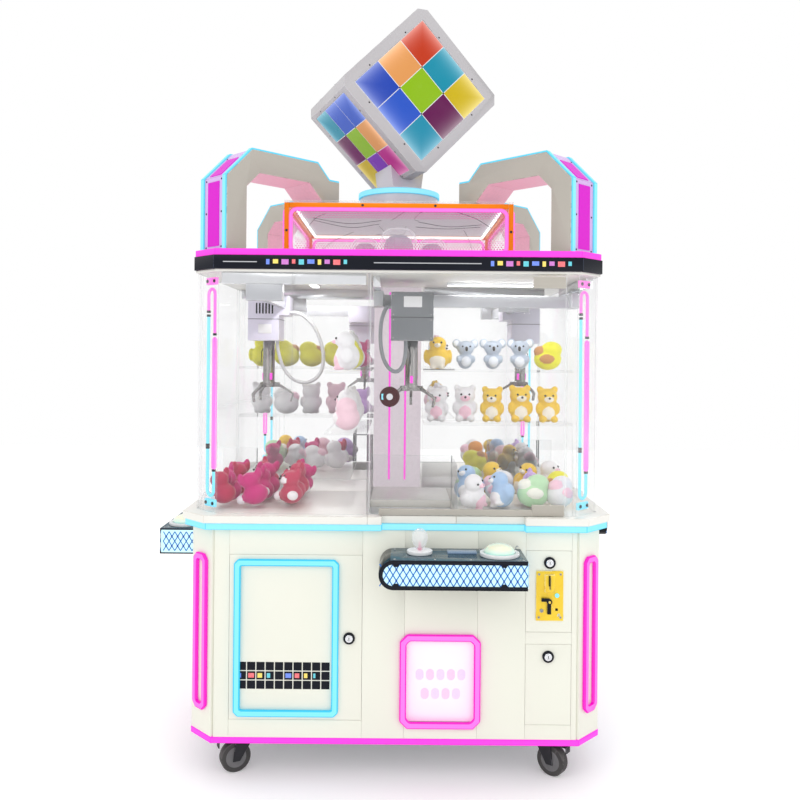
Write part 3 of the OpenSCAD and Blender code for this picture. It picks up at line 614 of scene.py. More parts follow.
glows = {
    "pinkLight": {"colour": (0.70, 0.0, 0.42), "core": (1.0, 0.26, 0.78), "power": 0.95},
    "pinkStrip": {"colour": (0.85, 0.03, 0.62), "core": (0.86, 0.07, 0.66), "power": 0.85},
    "cyanLight": {"colour": (0.02, 0.45, 0.68), "core": (0.32, 0.82, 0.95), "power": 0.90},
    "cyanStrip": {"colour": (0.10, 0.58, 0.80), "core": (0.38, 0.85, 0.97), "power": 0.80},
    "magentaLight": {"colour": (0.56, 0.0, 0.46), "core": (0.66, 0.005, 0.60), "power": 0.75},
    # the arch soffits glow pink as painted light falling from below
    "soffitPaintedPinkLight": {"colour": (0.88, 0.42, 0.56), "core": (0.92, 0.55, 0.66), "power": 0.45},
    "pinkStem": {"colour": (1.0, 0.40, 0.55), "core": (1.0, 0.66, 0.75), "power": 0.35},
    "litWhite": {"colour": (0.56, 0.52, 0.57), "core": (0.64, 0.60, 0.65), "power": 0.32},
    # the core column glows as painted light, standing in for the bay lamps' light falling on it
    "columnPaintedLight": {"colour": (0.86, 0.76, 0.83), "core": (0.90, 0.80, 0.87), "power": 0.42},
    "lampLight": {"colour": (0.90, 0.96, 1.0), "core": (1.0, 1.0, 1.0), "power": 3.2},
    "whiteLamp": {"colour": (0.90, 0.96, 1.0), "core": (1.0, 1.0, 1.0), "power": 1.3},
    "meshLight": {"colour": (0.40, 0.86, 1.0), "core": (0.74, 0.94, 1.0), "power": 0.80}}


def glowFinish(name):
    # a milky silicone tube, brighter in its middle than at its rim, with faint diode spots
    look = glows[name]
    s = Surface(name)
    spots = s.noise(90.0, 1.0)
    edge = s.facing() ** 1.5
    lit = s.mix(edge * 0.9 + spots * 0.1 + s.attribute("edge") * 0.8, look["core"], look["colour"])
    dim = tuple(c * 0.2 for c in look["colour"])
    return s.done(colour=s.mix(spots * 0.2 + 0.2, dim, look["colour"]), glow=lit, power=look["power"],
                  rough=spots * 0.2 + 0.3, specular=0.2, normal=s.bump(s.noise(600.0), 0.05, 0.0005))


clears = {
    "clearSheet": {"colour": (0.93, 0.98, 1.0), "alpha": (0.02, 0.27), "rough": 0.04},
    "printedClear": {"colour": (0.97, 0.96, 1.0), "alpha": (0.05, 0.38), "rough": 0.06},
    "crystal": {"colour": (0.88, 0.93, 1.0), "alpha": (0.30, 0.95), "rough": 0.03}}


def clearFinish(name):
    # polished clear sheet: thin in the middle, glossy and bright at a grazing look, with painted highlights
    # along its cut edges
    look = clears[name]
    s = Surface(name)
    low, high = look["alpha"]
    smear = s.noise(7.0, 5.0)
    # the narrow cut-edge faces get more alpha over the near-white colour: a painted highlight
    shown = s.facing() ** 3.0 * (high - low) + low + smear * 0.03 + s.attribute("edge") * 0.45
    return s.done(colour=s.mix(smear, look["colour"], (1, 1, 1)), alpha=shown,
                  rough=smear * 0.07 + look["rough"], specular=0.8, normal=s.bump(s.noise(3.0), 0.02, 0.002))


finish = {name: plainFinish(name) for name in plain}
finish |= {name: glowFinish(name) for name in glows}
finish |= {name: clearFinish(name) for name in clears}


# finishes of their own

def panelGloss():
    # black lacquer, with the dark blue-grey top plate
    s = Surface("panelGloss")
    high = s.node("ShaderNodeSeparateXYZ", None, {0: s.place()}, "Z")
    cloud = s.noise(9.0, 3.0)
    plate = s.mix(cloud, (0.05, 0.095, 0.125), (0.075, 0.13, 0.165))
    colour = s.mix(high > 0.7638, (0.006, 0.007, 0.011), plate)
    return s.done(colour=s.mix(s.attribute("edge") * 0.6, colour, (0.05, 0.06, 0.09)),
                  rough=cloud * 0.1 + 0.1, normal=s.bump(s.noise(500.0), 0.02, 0.0004), specular=0.15)


def litTile():
    # printed film over light: deep in the middle of the side, glowing towards its rim
    s = Surface("litTile")
    spread = s.node("ShaderNodeUVMap", {"uv_map": "spread"})
    x = s.node("ShaderNodeSeparateXYZ", None, {0: spread}, "X")
    y = s.node("ShaderNodeSeparateXYZ", None, {0: spread}, "Y")
    far = s.node("ShaderNodeMath", {"operation": "MAXIMUM"},
                 {0: s.node("ShaderNodeMath", {"operation": "ABSOLUTE"}, {0: x}),
                  1: s.node("ShaderNodeMath", {"operation": "ABSOLUTE"}, {0: y})})
    rim = far ** 7.0
    film = s.attribute("tint", "Color")
    cloud = s.noise(14.0, 2.0)
    bright = s.mix(rim * 0.26 + cloud * 0.03, film, (0.80, 0.86, 0.80))
    glow = s.mix(rim * 0.55 + 0.30, (0.0, 0.0, 0.0), bright)
    return s.done(colour=s.mix(0.42, bright, (0.0, 0.0, 0.0)), glow=glow, power=0.9,
                  rough=cloud * 0.12 + 0.2, specular=0.12, normal=s.bump(s.noise(260.0), 0.02, 0.0005))


def chipPrint():
    # flat printed ink in each face's own colour, with a faint glow of the ink's colour as painted light
    s = Surface("chipPrint")
    cloud = s.noise(200.0, 2.0)
    ink = s.attribute("tint", "Color")
    # the ink's faint glow is painted light
    return s.done(colour=s.mix(cloud * 0.25, ink, (0.9, 0.9, 0.9)), rough=cloud * 0.2 + 0.3,
                  glow=s.mix(0.75, ink, (0.0, 0.0, 0.0)), power=0.5, normal=s.bump(cloud, 0.05, 0.0002))


def creamDome():
    # thick milky push button, cyan at its foot
    s = Surface("creamDome")
    high = s.node("ShaderNodeSeparateXYZ", None, {0: s.place()}, "Z")
    foot = s.node("ShaderNodeMapRange", None, {"Value": high, "From Min": 0.773, "From Max": 0.792,
                                               "To Min": 0.85, "To Max": 0.0})
    cloud = s.noise(30.0, 3.0)
    colour = s.mix(foot, (0.80, 0.82, 0.62), (0.36, 0.80, 0.78))
    return s.done(colour=s.mix(cloud * 0.2, colour, (0.95, 0.97, 0.86)), glow=colour, power=0.10,
                  rough=cloud * 0.1 + 0.14, coat=0.7, coatRough=0.05, soft=0.2,
                  normal=s.bump(s.noise(220.0), 0.02, 0.0004))


def flapSheet():
    # frosted flap with a pink blush low down; the whole sheet glows faintly as painted light
    s = Surface("flapSheet")
    high = s.node("ShaderNodeSeparateXYZ", None, {0: s.place()}, "Z")
    low = s.node("ShaderNodeMapRange", None, {"Value": high, "From Min": 0.20, "From Max": 0.46,
                                              "To Min": 0.55, "To Max": 0.05})
    cloud = s.noise(10.0, 3.0)
    colour = s.mix(low, (0.86, 0.82, 0.86), (0.93, 0.66, 0.82))
    # the glow of the whole sheet is painted light
    return s.done(colour=s.mix(cloud * 0.3, colour, (0.97, 0.95, 0.97)), glow=colour, power=0.10,
                  rough=cloud * 0.15 + 0.22, normal=s.bump(s.noise(380.0), 0.03, 0.0004))


def frostDome():
    # clear moulded dome, milky at a grazing look
    s = Surface("frostDome")
    cloud = s.noise(24.0, 3.0)
    shown = s.facing() ** 2.2 * 0.9 + cloud * 0.08 + 0.10
    return s.done(colour=s.mix(cloud, (0.95, 0.95, 0.97), (0.88, 0.90, 0.93)), alpha=shown,
                  glow=(1.0, 0.98, 1.0), power=0.25, rough=cloud * 0.12 + 0.12,
                  normal=s.bump(s.noise(160.0), 0.03, 0.0006))


def displayGlass():
    # dim blue credit window with faint bars
    s = Surface("displayGlass")
    lines = s.node("ShaderNodeTexWave", {"wave_type": "BANDS", "bands_direction": "X"},
                   {"Vector": s.place(), "Scale": 60.0, "Distortion": 0.4})
    colour = s.mix(lines, (0.12, 0.18, 0.27), (0.17, 0.24, 0.34))
    return s.done(colour=colour, rough=lines * 0.06 + 0.06, glow=(0.12, 0.18, 0.30), power=0.3)


def plushFinish():
    # short pile: each toy's dye and trim ride on its points; part tells them from the dark bits
    s = Surface("plush")
    part = s.attribute("part")
    dye = s.attribute("dye", "Color")
    trim = s.attribute("trim", "Color")
    pile = s.noise(420.0, 3.0)
    tuft = s.noise(95.0, 3.0)
    body = s.mix(part > 0.5, dye, trim)
    body = s.mix(part > 1.5, body, (0.025, 0.02, 0.02))
    shaded = s.mix(tuft * 0.34, body, s.tinted(body, (0.62, 0.62, 0.66)))
    height = pile * 0.6 + tuft * 0.8
    return s.done(colour=shaded, rough=pile * 0.15 + 0.78, sheen=0.45, sheenRough=0.4,
                  normal=s.bump(height, 0.55, 0.0016))


def hubFinish():
    # cast grey plastic of the hub caps
    s = Surface("hubGrey")
    cloud = s.noise(60.0, 3.0)
    return s.done(colour=s.mix(cloud, (0.10, 0.10, 0.105), (0.17, 0.17, 0.17)), rough=cloud * 0.25 + 0.4,
                  metal=0.2, normal=s.bump(s.noise(500.0), 0.1, 0.0004))


for made in (panelGloss, litTile, chipPrint, creamDome, flapSheet, frostDome, displayGlass):
    finish[made.__name__] = made()
finish["plush"] = plushFinish()
finish["hubGrey"] = hubFinish()

for key, coat in (("front", "greyHose"), ("left", "paleHose")):
    print("hose", key, round(makeHose(key, finish[coat]), 4), "m")
print("camera, hoses and", len(finish), "finishes")


# patterns: screws, mesh, ribs and dots

def screwPattern():
    # pan heads with a dark disc on top as painted shade in the recess, on points that carry the attribute aim
    g = Pattern("screwHeads", {"Radius": ("Float", 0.004), "Height": ("Float", 0.0016),
                               "Finish": ("Material", None)})
    radius = g.given("Radius")
    height = g.given("Height")
    sizes = {"Vertices": 12, "Radius Top": radius * 0.7, "Radius Bottom": radius, "Depth": height}
    head = g.node("GeometryNodeMeshCone", None, sizes)
    # the well is a flat dark disc just above the head top: painted shade of the recess
    wellShadeDisc = g.node("GeometryNodeMeshCylinder", None,
                  {"Vertices": 6, "Radius": radius * 0.42, "Depth": height * 0.1})
    raisedShadeDisc = g.marked(g.moved(wellShadeDisc, g.vector(0.0, 0.0, height * 1.02)), "deep", 1.0)
    turned = g.node("FunctionNodeAlignRotationToVector", {"axis": "Z"}, {"Vector": g.named("aim")})
    sockets = {"Points": g.given("Geometry"), "Instance": g.joined(head, raisedShadeDisc), "Rotation": turned}
    return g.ends(g.node("GeometryNodeInstanceOnPoints", None, sockets))


def meshPattern():
    # expanded mesh: crossed wires with a knot at each crossing, one cell on each point
    g = Pattern("diamondMesh", {"Wide": ("Float", 0.0206), "Tall": ("Float", 0.034),
                                "Wire": ("Float", 0.0017),
                                "Knot": ("Float", 0.0034), "Finish": ("Material", None)})
    wide = g.given("Wide")
    tall = g.given("Tall")
    length = (wide * wide + tall * tall) ** 0.5
    lean = g.node("ShaderNodeMath", {"operation": "ARCTAN2"}, {0: wide, 1: tall})
    bar = g.node("GeometryNodeMeshCylinder", None,
                 {"Vertices": 4, "Radius": g.given("Wire"), "Depth": length})
    right = g.moved(bar, turn=g.vector(0.0, lean, 0.0))
    left = g.moved(bar, turn=g.vector(0.0, lean * -1.0, 0.0))
    sockets = {"Vertices": 6, "Radius": g.given("Knot"), "Depth": g.given("Wire") * 2.2}
    knot = g.moved(g.node("GeometryNodeMeshCylinder", None, sockets), turn=(math.radians(90), 0, 0))
    cell = g.joined(right, left, g.marked(knot, "deep", 1.0))
    turned = g.named("turn")
    return g.ends(g.node("GeometryNodeInstanceOnPoints", None,
                         {"Points": g.given("Geometry"), "Instance": cell, "Rotation": turned}))


def ribPattern():
    # low round ribs across a strip: one on each point
    g = Pattern("lampRibs", {"Length": ("Float", 0.02), "Radius": ("Float", 0.002),
                             "Finish": ("Material", None)})
    rib = g.node("GeometryNodeMeshCylinder", None,
                 {"Vertices": 6, "Radius": g.given("Radius"), "Depth": g.given("Length")})
    across = g.moved(rib, turn=(math.radians(90), 0, 0))
    return g.ends(g.node("GeometryNodeInstanceOnPoints", None,
                         {"Points": g.given("Geometry"), "Instance": across, "Rotation": g.named("turn")}))


def dotPattern():
    # flat printed dots, each as large as its point's attribute size says
    g = Pattern("printedDots", {"Radius": ("Float", 0.003), "Thick": ("Float", 0.0004),
                                "Finish": ("Material", None)})
    dot = g.node("GeometryNodeMeshCylinder", None,
                 {"Vertices": 8, "Radius": g.given("Radius"), "Depth": g.given("Thick")})
    turned = g.node("FunctionNodeAlignRotationToVector", {"axis": "Z"}, {"Vector": g.named("aim")})
    return g.ends(g.node("GeometryNodeInstanceOnPoints", None,
                         {"Points": g.given("Geometry"), "Instance": dot, "Rotation": turned,
                          "Scale": g.named("size", "FLOAT")}))


patterns = {"screws": screwPattern(), "mesh": meshPattern(), "ribs": ribPattern(), "dots": dotPattern()}


def pointMesh(points, **values):
    # loose points with one attribute for each list in values
    mesh = bpy.data.meshes.new("points")
    mesh.from_pydata([tuple(p) for p in points], [], [])
    for label, numbers in values.items():
        single = isinstance(numbers[0], (int, float))
        layer = mesh.attributes.new(label, "FLOAT" if single else "FLOAT_VECTOR", "POINT")
        for item, number in zip(layer.data, numbers):
            if single:
                item.value = number
            else:
                item.vector = number
    return mesh


def deepFinish(name, colour, deep, rough, metal):
    # for pattern pieces: the mesh knots are darker, and the screws' wells are a dark disc coloured as painted
    # shade
    s = Surface(name)
    grain = s.noise(300.0)
    plain = s.mix(grain, colour, tuple(c * 0.8 for c in colour))
    return s.done(colour=s.mix(s.attribute("deep"), plain, deep),
                  rough=grain * 0.2 + rough, metal=metal, normal=s.bump(grain, 0.04, 0.0004))


# the screws' second colour is the painted shade of their wells
finish["screwSteel"] = deepFinish("screwSteel", (0.55, 0.54, 0.53), (0.06, 0.06, 0.06), 0.2, 0.85)
finish["screwDark"] = deepFinish("screwDark", (0.07, 0.06, 0.07), (0.01, 0.01, 0.01), 0.25, 0.5)
finish["meshWire"] = deepFinish("meshWire", (0.02, 0.20, 0.62), (0.01, 0.06, 0.36), 0.3, 0.2)
finish["pinkInk"] = deepFinish("pinkInk", (0.80, 0.05, 0.40), (0.7, 0.02, 0.3), 0.5, 0.0)


def addScrews(name, spots, body, slot, coat="screwSteel", radius=0.004, height=0.0016):
    # spots are (point, outward direction)
    mesh = pointMesh([p for p, _ in spots], aim=[tuple(d) for _, d in spots])
    result = grown(name, mesh, patterns["screws"], {"Radius": radius, "Height": height}, finish[coat])
    return addPiece(name, result, finish[coat], body, slot)


def outward(i):
    return stations[i].to_3x3() @ Vector((0, -1, 0))


# the frame's own solids, with broken edges and their finishes

coats = {
    "base_frame": ("steelPlate", "steel_plate", 0.001),
    "cabinet_panels": ("ivoryLaminate", "ivory_laminate", 0.0004),
    "deck": ("deckBoard", "deck_board", 0.0016), "cabinet_internals": ("craneGrey", "crane_grey", 0.0008),
    "prize_bins": ("whitePlastic", "white_plastic", 0.0008),
    "coin_plate": ("goldPlate", "gold_plate", 0.0012),
    "return_lever": ("blackGloss", "black_gloss", 0.0006),
    "panel_housings": ("panelGloss", "black_gloss", 0.002),
    "joystick_gimbal": ("steelPlate", "steel_plate", 0.0005),
    # the core column's glow is painted light
    "core_column": ("columnPaintedLight", "white_plastic", 0.0015),
    "bridge": ("craneGrey", "crane_grey", 0.0012), "trolley": ("trolleyGrey", "crane_grey", 0.0014),
    "claw_body": ("clawMetal", "bright_metal", 0.0006), "header": ("headerBeige", "deck_board", 0.001),
    "header_fascia": ("blackGloss", "black_gloss", 0.0008),
    "light_box_frame": ("orangePaint", "orange_paint", 0.0012),
    "roof_arches": ("greyBeige", "lilac_grey", 0.0015),
    "turntable_housing": ("lilacGrey", "lilac_grey", 0.0015),
    "turntable_disc": ("lilacGrey", "lilac_grey", 0.0012), "cube_frame": ("cubeWhite", "lilac_grey", 0.0012),
    "cube_tiles": ("whitePlastic", "colour_tiles", 0.0008), "neon_loops": ("pinkLight", "pink_light", 0.004),
    "pink_led_strips": ("pinkStrip", "pink_light", 0.002),
    "cyan_led_strips": ("cyanStrip", "cyan_light", 0.002),
    "fixed_glass": ("clearSheet", "clear_sheet", 0.0008), "glass_door": ("clearSheet", "clear_sheet", 0.0008),
    "bay_partitions": ("clearSheet", "clear_sheet", 0.0006),
    "prize_shelves": ("clearSheet", "clear_sheet", 0.0006),
    "prize_chutes": ("clearSheet", "clear_sheet", 0.0006),
    "light_box_panels": ("printedClear", "printed_clear", 0.0006)}
for key in ("fl", "fr", "rl", "rr"):
    coats["caster_fork_" + key] = ("blackSteel", "steel_plate", 0.0008)
    coats["caster_wheel_" + key] = ("treadRubber", "tread_rubber", 0.003)
for key in ("a", "b", "c"):
    coats["claw_finger_" + key] = ("clawMetal", "bright_metal", 0.0006)


def isCyanLoop(low, high):
    # the loops on the service doors are cyan, the others pink
    return max(high.x - low.x, high.y - low.y) > 0.3


coats.pop("neon_loops")
for node, (coat, slot, width) in coats.items():
    refine(node, coat, slot, width)
refine("neon_loops", "pinkLight", "pink_light", 0.004, lambda a, b: not isCyanLoop(a, b))
refine("neon_loops", "cyanLight", "cyan_light", 0.004, isCyanLoop, "door_loops")
refine("service_door", "ivoryLaminate", "ivory_laminate", 0.001, lambda a, b: a.y > -0.6805)
refine("service_door", "cyanLight", "cyan_light", 0.004,
       lambda a, b: isCyanLoop(a, b) and b.y < -0.679, "service_loop")
refine("coin_door", "ivoryLaminate", "ivory_laminate", 0.0008, lambda a, b: a.y > -0.6805)
refine("cash_door", "ivoryLaminate", "ivory_laminate", 0.0008, lambda a, b: a.y > -0.6805)


def isFlap(low, high):
    return min(high.x - low.x, high.y - low.y) < 0.008


def isDisplay(low, high):
    return high.z < 0.772 and low.z > 0.765 and 0.08 < max(high.x - low.x, high.y - low.y) < 0.1


refine("side_doors", "ivoryLaminate", "ivory_laminate", 0.0008, lambda a, b: not isFlap(a, b))
refine("side_doors", "flapSheet", "white_plastic", 0.0008, isFlap, "side_flaps")
refine("prize_flap", "flapSheet", "white_plastic", 0.0008)
refine("gantry_rails", "brightMetal", "bright_metal", 0.001, lambda a, b: b.z - a.z > 0.02)
refine("gantry_rails", "whitePlastic", "white_plastic", 0.001, lambda a, b: b.z - a.z < 0.02, "lamp_trays")
refine("glass_door_fittings", "greyBeige", "deck_board", 0.001, lambda a, b: a.z < 1.2 or a.z > 1.5)
refine("panel_fittings", "whitePlastic", "white_plastic", 0.0008,
       lambda a, b: b.z < 0.79 and not isDisplay(a, b))
for key in ("left", "right", "rear"):
    node = "crane_" + key
    refine(node, "craneGrey", "crane_grey", 0.0012,
           lambda a, b: b.z > 1.6 and max(b.x - a.x, b.y - a.y) > 0.3)
    refine(node, "craneLilac", "crane_grey", 0.0014,
           lambda a, b: b.z > 1.6 and 0.1 < max(b.x - a.x, b.y - a.y) < 0.3, node + "_box")
    refine(node, "clawMetal", "bright_metal", 0.0006,
           lambda a, b: b.z < 1.6 or max(b.x - a.x, b.y - a.y) < 0.1, node + "_claw")
print("frame solids dressed")


# corner neon: hairpins and loops held in blocks, on the glass at each cut corner

tubes = {"out": 0.875, "gap": 0.019, "radius": 0.0052, "loop": 0.0055, "top": 1.606, "bottom": 0.920,
         "pinkShort": 1.531, "pinkLong": 1.455, "cyanTop": 1.518, "cyanLow": 1.087, "legTop": 1.078,
         "rightTop": 1.005,
         "loopTop": 1.442, "loopLow": 1.011}


def hairpin(left, right, turnZ, first, last, up):
    # down one column, round a half circle and back along the other
    radius = (right - left) / 2
    middle = (left + right) / 2
    path = [(left, first)]
    for k in range(13):
        angle = math.pi * (1 - k / 12)
        path.append((middle + radius * math.cos(angle), turnZ + up * radius * math.sin(angle)))
    return path + [(right, last)]


def cornerTubes():
    pink = Shape()
    cyan = Shape()
    ends = Shape()
    gap = tubes["gap"]
    for at in corners:
        def line(shape, path, radius=tubes["radius"], closed=False):
            shape.at = at
            shape.sweep([(tubes["out"], t, z) for t, z in path], radius, 10, closed=closed)
        turn = tubes["top"] - gap
        line(pink, hairpin(-gap, gap, turn, tubes["pinkShort"], tubes["pinkLong"], 1))
        line(cyan, [(-gap, tubes["cyanTop"]), (-gap, 1.3), (-gap, tubes["cyanLow"])])
        line(cyan, hairpin(-gap, gap, tubes["bottom"] + gap, tubes["legTop"], tubes["rightTop"], -1))
        w = tubes["loop"] * 1.25
        top, low = tubes["loopTop"] - w, tubes["loopLow"] + w
        ring = [(gap + w * math.cos(math.pi * k / 8), top + w * math.sin(math.pi * k / 8)) for k in range(9)]
        ring += [(gap - w * math.cos(math.pi * k / 8), low - w * math.sin(math.pi * k / 8)) for k in range(9)]
        line(pink, ring, tubes["loop"] * 0.85, True)
        ends.at = at
        for t, z in ((-gap, tubes["pinkShort"]), (gap, tubes["pinkLong"]), (-gap, tubes["cyanTop"]),
                     (-gap, tubes["cyanLow"]), (-gap, tubes["legTop"]), (gap, tubes["rightTop"])):
            ends.lathe([(0, -0.004), (0.0062, -0.004), (0.0068, -0.002), (0.0068, 0.002), (0.0062, 0.004),
                        (0, 0.004)],
                       10, Matrix.Translation((tubes["out"], t, z)))
        for z, shape in ((1.632, pink), (0.896, cyan)):
            shape.at = at
            shape.block((tubes["out"] - 0.006, -0.03, z - 0.012), (tubes["out"] + 0.004, 0.03, z + 0.012),
                        rim=0.002)
            for t in (-0.02, 0.02):
                face = (Matrix.Translation((tubes["out"] + 0.004, t, z))
                        @ Matrix.Rotation(math.radians(90), 4, "Y"))
                ends.lathe([(0, 0), (0.006, 0), (0.006, 0.0025), (0.004, 0.004), (0, 0.004)], 12, face)
    addPiece("corner_tubes_pink", pink.made("cornerPink"), finish["pinkLight"], "cabinet", "pink_light",
             ("corner_neon_tubes",))
    addPiece("corner_tubes_cyan", cyan.made("cornerCyan"), finish["cyanLight"], "cabinet", "cyan_light")
    addPiece("corner_tube_ends", ends.made("cornerEnds"), finish["blackGloss"], "cabinet", "black_gloss")


cornerTubes()


# roof cube: nine lit tiles a side, brighter towards the rim of the field

cube = {"height": 2.3995, "yaw": 21, "half": 0.233, "field": 0.1896, "gap": 0.0028, "face": 0.2322,
        "thick": 0.0026, "screwRim": 0.198, "screwStep": 0.1}
tileColours = {
    "blue": (0.02, 0.10, 0.62), "deepBlue": (0.01, 0.06, 0.50), "peach": (0.85, 0.36, 0.10),
    "red": (0.60, 0.035, 0.0),
    "lime": (0.30, 0.56, 0.0), "teal": (0.0, 0.30, 0.44), "sea": (0.01, 0.30, 0.46),
    "plum": (0.14, 0.0, 0.085),
    "yellow": (0.68, 0.50, 0.0), "violet": (0.22, 0.03, 0.50), "magenta": (0.55, 0.01, 0.28),
    "green": (0.02, 0.34, 0.12)}
cubeFaces = {
    # turn of each face about X then Z, and its nine colours by row
    "front": ((90, 0), "deepBlue peach red blue lime teal sea plum yellow"),
    "rear": ((90, 180), "teal magenta lime yellow deepBlue peach plum green red"),
    "right": ((90, 90), "yellow teal plum lime red deepBlue magenta peach sea"),
    "left": ((90, -90), "violet sea peach blue yellow magenta lime teal red"),
    "top": ((0, 0), "lime red deepBlue peach teal violet yellow plum sea"),
    "bottom": ((180, 0), "teal blue blue plum lime peach yellow violet magenta")}


def cubeAxes():
    place = Matrix.Translation((0, 0, cube["height"])) @ Matrix.Rotation(math.radians(cube["yaw"]), 4, "Z")
    return place @ Matrix.Rotation(math.radians(45), 4, "Y")


def cubeSkin():
    tiles = Shape(cubeAxes())
    spots = []
    pitch = cube["field"] * 2 / 3
    half = pitch / 2 - cube["gap"] / 2
    for (tip, spin), names in cubeFaces.values():
        side = Matrix.Rotation(math.radians(spin), 4, "Z") @ Matrix.Rotation(math.radians(tip), 4, "X")
        for k, colour in enumerate(names.split()):
            x = (k // 3 - 1) * pitch
            y = (k % 3 - 1) * pitch
            tiles.tint = tileColours[colour]
            tiles.block((x - half, y - half, cube["face"] - cube["thick"]),
                        (x + half, y + half, cube["face"]), side,
                        spread=lambda p: (p.x / cube["field"], p.y / cube["field"]))
        up = (cubeAxes().to_3x3() @ side.to_3x3()) @ Vector((0, 0, 1))
        inner = [(a * pitch / 2, b * pitch / 2) for a in (-1, 1) for b in (-1, 1)]
        rim, step = cube["screwRim"], cube["screwStep"]
        outer = [(a, b) for a in (-rim, rim) for b in (-step, step)]
        outer += [(a, b) for a in (-step, step) for b in (-rim, rim)]
        for x, y in inner:
            spots.append((cubeAxes() @ side @ Vector((x, y, cube["face"] - 0.0002)), up))
        for x, y in outer:
            spots.append((cubeAxes() @ side @ Vector((x, y, cube["half"])), up))
    addPiece("cube_lit_tiles", tiles.made("cubeTiles"), finish["litTile"], "cube", "colour_tiles")
    addScrews("cube_screws", spots, "cube", "bright_metal", "screwDark", 0.0034, 0.0012)


cubeSkin()


# light box: neon frames, lamp tubes, domes, wires and the dot print

box = {"half": 0.41, "low": 1.735, "high": 1.935, "bar": 0.017, "dot": 0.0072}


def lightBox():
    neon = Shape()
    lamps = Shape()
    wires = Shape()
    domes = Shape()
    cores = Shape()
    dots, aims, sizes, spots = [], [], [], []
    edge = box["half"] - box["bar"] - 0.007
    for i, at in enumerate(stations):
        neon.at = at
        ring = roundedPath(-edge, edge, box["low"] + box["bar"] + 0.007,
                           box["high"] - box["bar"] - 0.007, 0.022)
        neon.sweep([(x, -box["half"] - 0.0015, z) for x, z in ring], 0.0068, 10, closed=True)
        lamps.at = at
        lamps.sweep([(-0.375, -0.375, 1.922), (0.375, -0.375, 1.922)], 0.006, 8)
        lamps.sweep([(-0.375, -0.375, 1.752), (0.375, -0.375, 1.752)], 0.004, 8)
        wires.at = at
        for path in (((-0.34, -0.1, 1.93), (-0.2, -0.06, 1.915), (-0.07, -0.08, 1.925)),
                     ((0.34, 0.04, 1.93), (0.2, -0.02, 1.912), (0.08, -0.03, 1.928)),
                     ((-0.28, -0.2, 1.931), (-0.31, -0.28, 1.90), (-0.33, -0.34, 1.86))):
            wires.sweep(smoothed([Vector(p) for p in path], 5), 0.0011, 5)
        for row in range(11):
            low = row < 7
            z = box["low"] + 0.031 + row * box["dot"]
            if not low:
                z = box["high"] - 0.031 - (10 - row) * box["dot"]
            fade = 1 - row * 0.09 if low else 0.7 - (row - 7) * -0.08
            count = int(0.74 / box["dot"] / 1.4)
            for k in range(count + 1):
                x = (k - count / 2 + (row % 2) / 2) * box["dot"] * 1.4
                dots.append(at @ Vector((x, -0.4063, z)))
                aims.append(tuple(outward(i)))
                sizes.append(max(fade, 0.25))
        for x, z in ((-0.13, 1.9265), (0.13, 1.9265), (-0.4015, 1.835), (0.4015, 1.835)):
            spots.append((at @ Vector((x, -box["half"], z)), outward(i)))
    for x, size in ((-0.136, 0.76), (0, 1.0), (0.136, 0.76)):
        at = Matrix.Translation((x, 0, box["low"] + 0.001)) @ Matrix.Scale(size, 4)
        domes.lathe([(0, 0), (0.074, 0), (0.078, 0.006), (0.075, 0.012), (0.075, 0.115), (0.072, 0.135),
                     (0.063, 0.153), (0.045, 0.166), (0.022, 0.171), (0, 0.172)], 40, at)
        cores.lathe([(0, 0.002), (0.060, 0.002), (0.062, 0.02), (0.055, 0.05), (0.060, 0.09), (0.052, 0.125),
                     (0.030, 0.140), (0, 0.142)], 10, at)
    addPiece("box_neon", neon.made("boxNeon"), finish["pinkLight"], "cabinet", "pink_light")
    addPiece("box_lamps", lamps.made("boxLamps"), finish["whiteLamp"], "cabinet", "cyan_light")
    addPiece("box_wires", wires.made("boxWires"), finish["blackGloss"], "cabinet", "black_gloss")
    addPiece("box_domes", domes.made("boxDomes"), finish["frostDome"], "cabinet", "crystal")
    addPiece("box_dome_cores", cores.made("boxCores", 15), finish["craneLilac"], "cabinet", "crane_grey")
    tray = Shape()
    tray.block((-0.392, -0.392, box["low"] + 0.0005), (0.392, 0.392, box["low"] + 0.0025))
    tray.block((-0.392, -0.392, box["high"] - 0.003), (0.392, 0.392, box["high"] - 0.0008))
    addPiece("box_tray", tray.made("boxTray"), finish["litWhite"], "cabinet", "white_plastic")
    mesh = grown("box_dots", pointMesh(dots, aim=aims, size=sizes), patterns["dots"],
                 {"Radius": 0.0030, "Thick": 0.0003}, finish["pinkInk"])
    addPiece("box_dots", mesh, finish["pinkInk"], "cabinet", "printed_clear")
    addScrews("box_screws", spots, "cabinet", "bright_metal", "screwDark", 0.005)


lightBox()


# roof arches: lilac rims, magenta diffusers with screws, and soffit plates that glow pink as painted light
# from below

arch = {"rim": [(0.870, 1.736), (0.870, 1.977), (0.770, 2.077), (0.488, 2.077), (0.433, 2.022),
                (0.386, 2.022)],
        "soffit": [(0.465, 1.9435), (0.524, 2.002), (0.740, 2.002), (0.792, 1.951), (0.792, 1.736)],
        "lilac": 0.108, "diffuser": 0.066, "band": 0.146}


def strap(shape, a, b, width, thick, trim=0.0):
    # a flat strip on the line from a to b, given as (distance from the axis, height), lying on its left side
    a, b = Vector(a), Vector(b)
    along = (b - a).normalized()
    a, b = a + along * trim, b - along * trim
    out = Vector((along.y, -along.x)) * thick
    corners4 = [a, b, b + out, a + out]
    low = [shape.mesh.verts.new((p.x, -width / 2, p.y)) for p in corners4]
    high = [shape.mesh.verts.new((p.x, width / 2, p.y)) for p in corners4]
    shape.mesh.faces.new(low)
    shape.mesh.faces.new(high)
    for k in range(4):
        j = (k + 1) % 4
        shape.mesh.faces.new((low[k], low[j], high[j], high[k]))
    shape.settle(low + high)


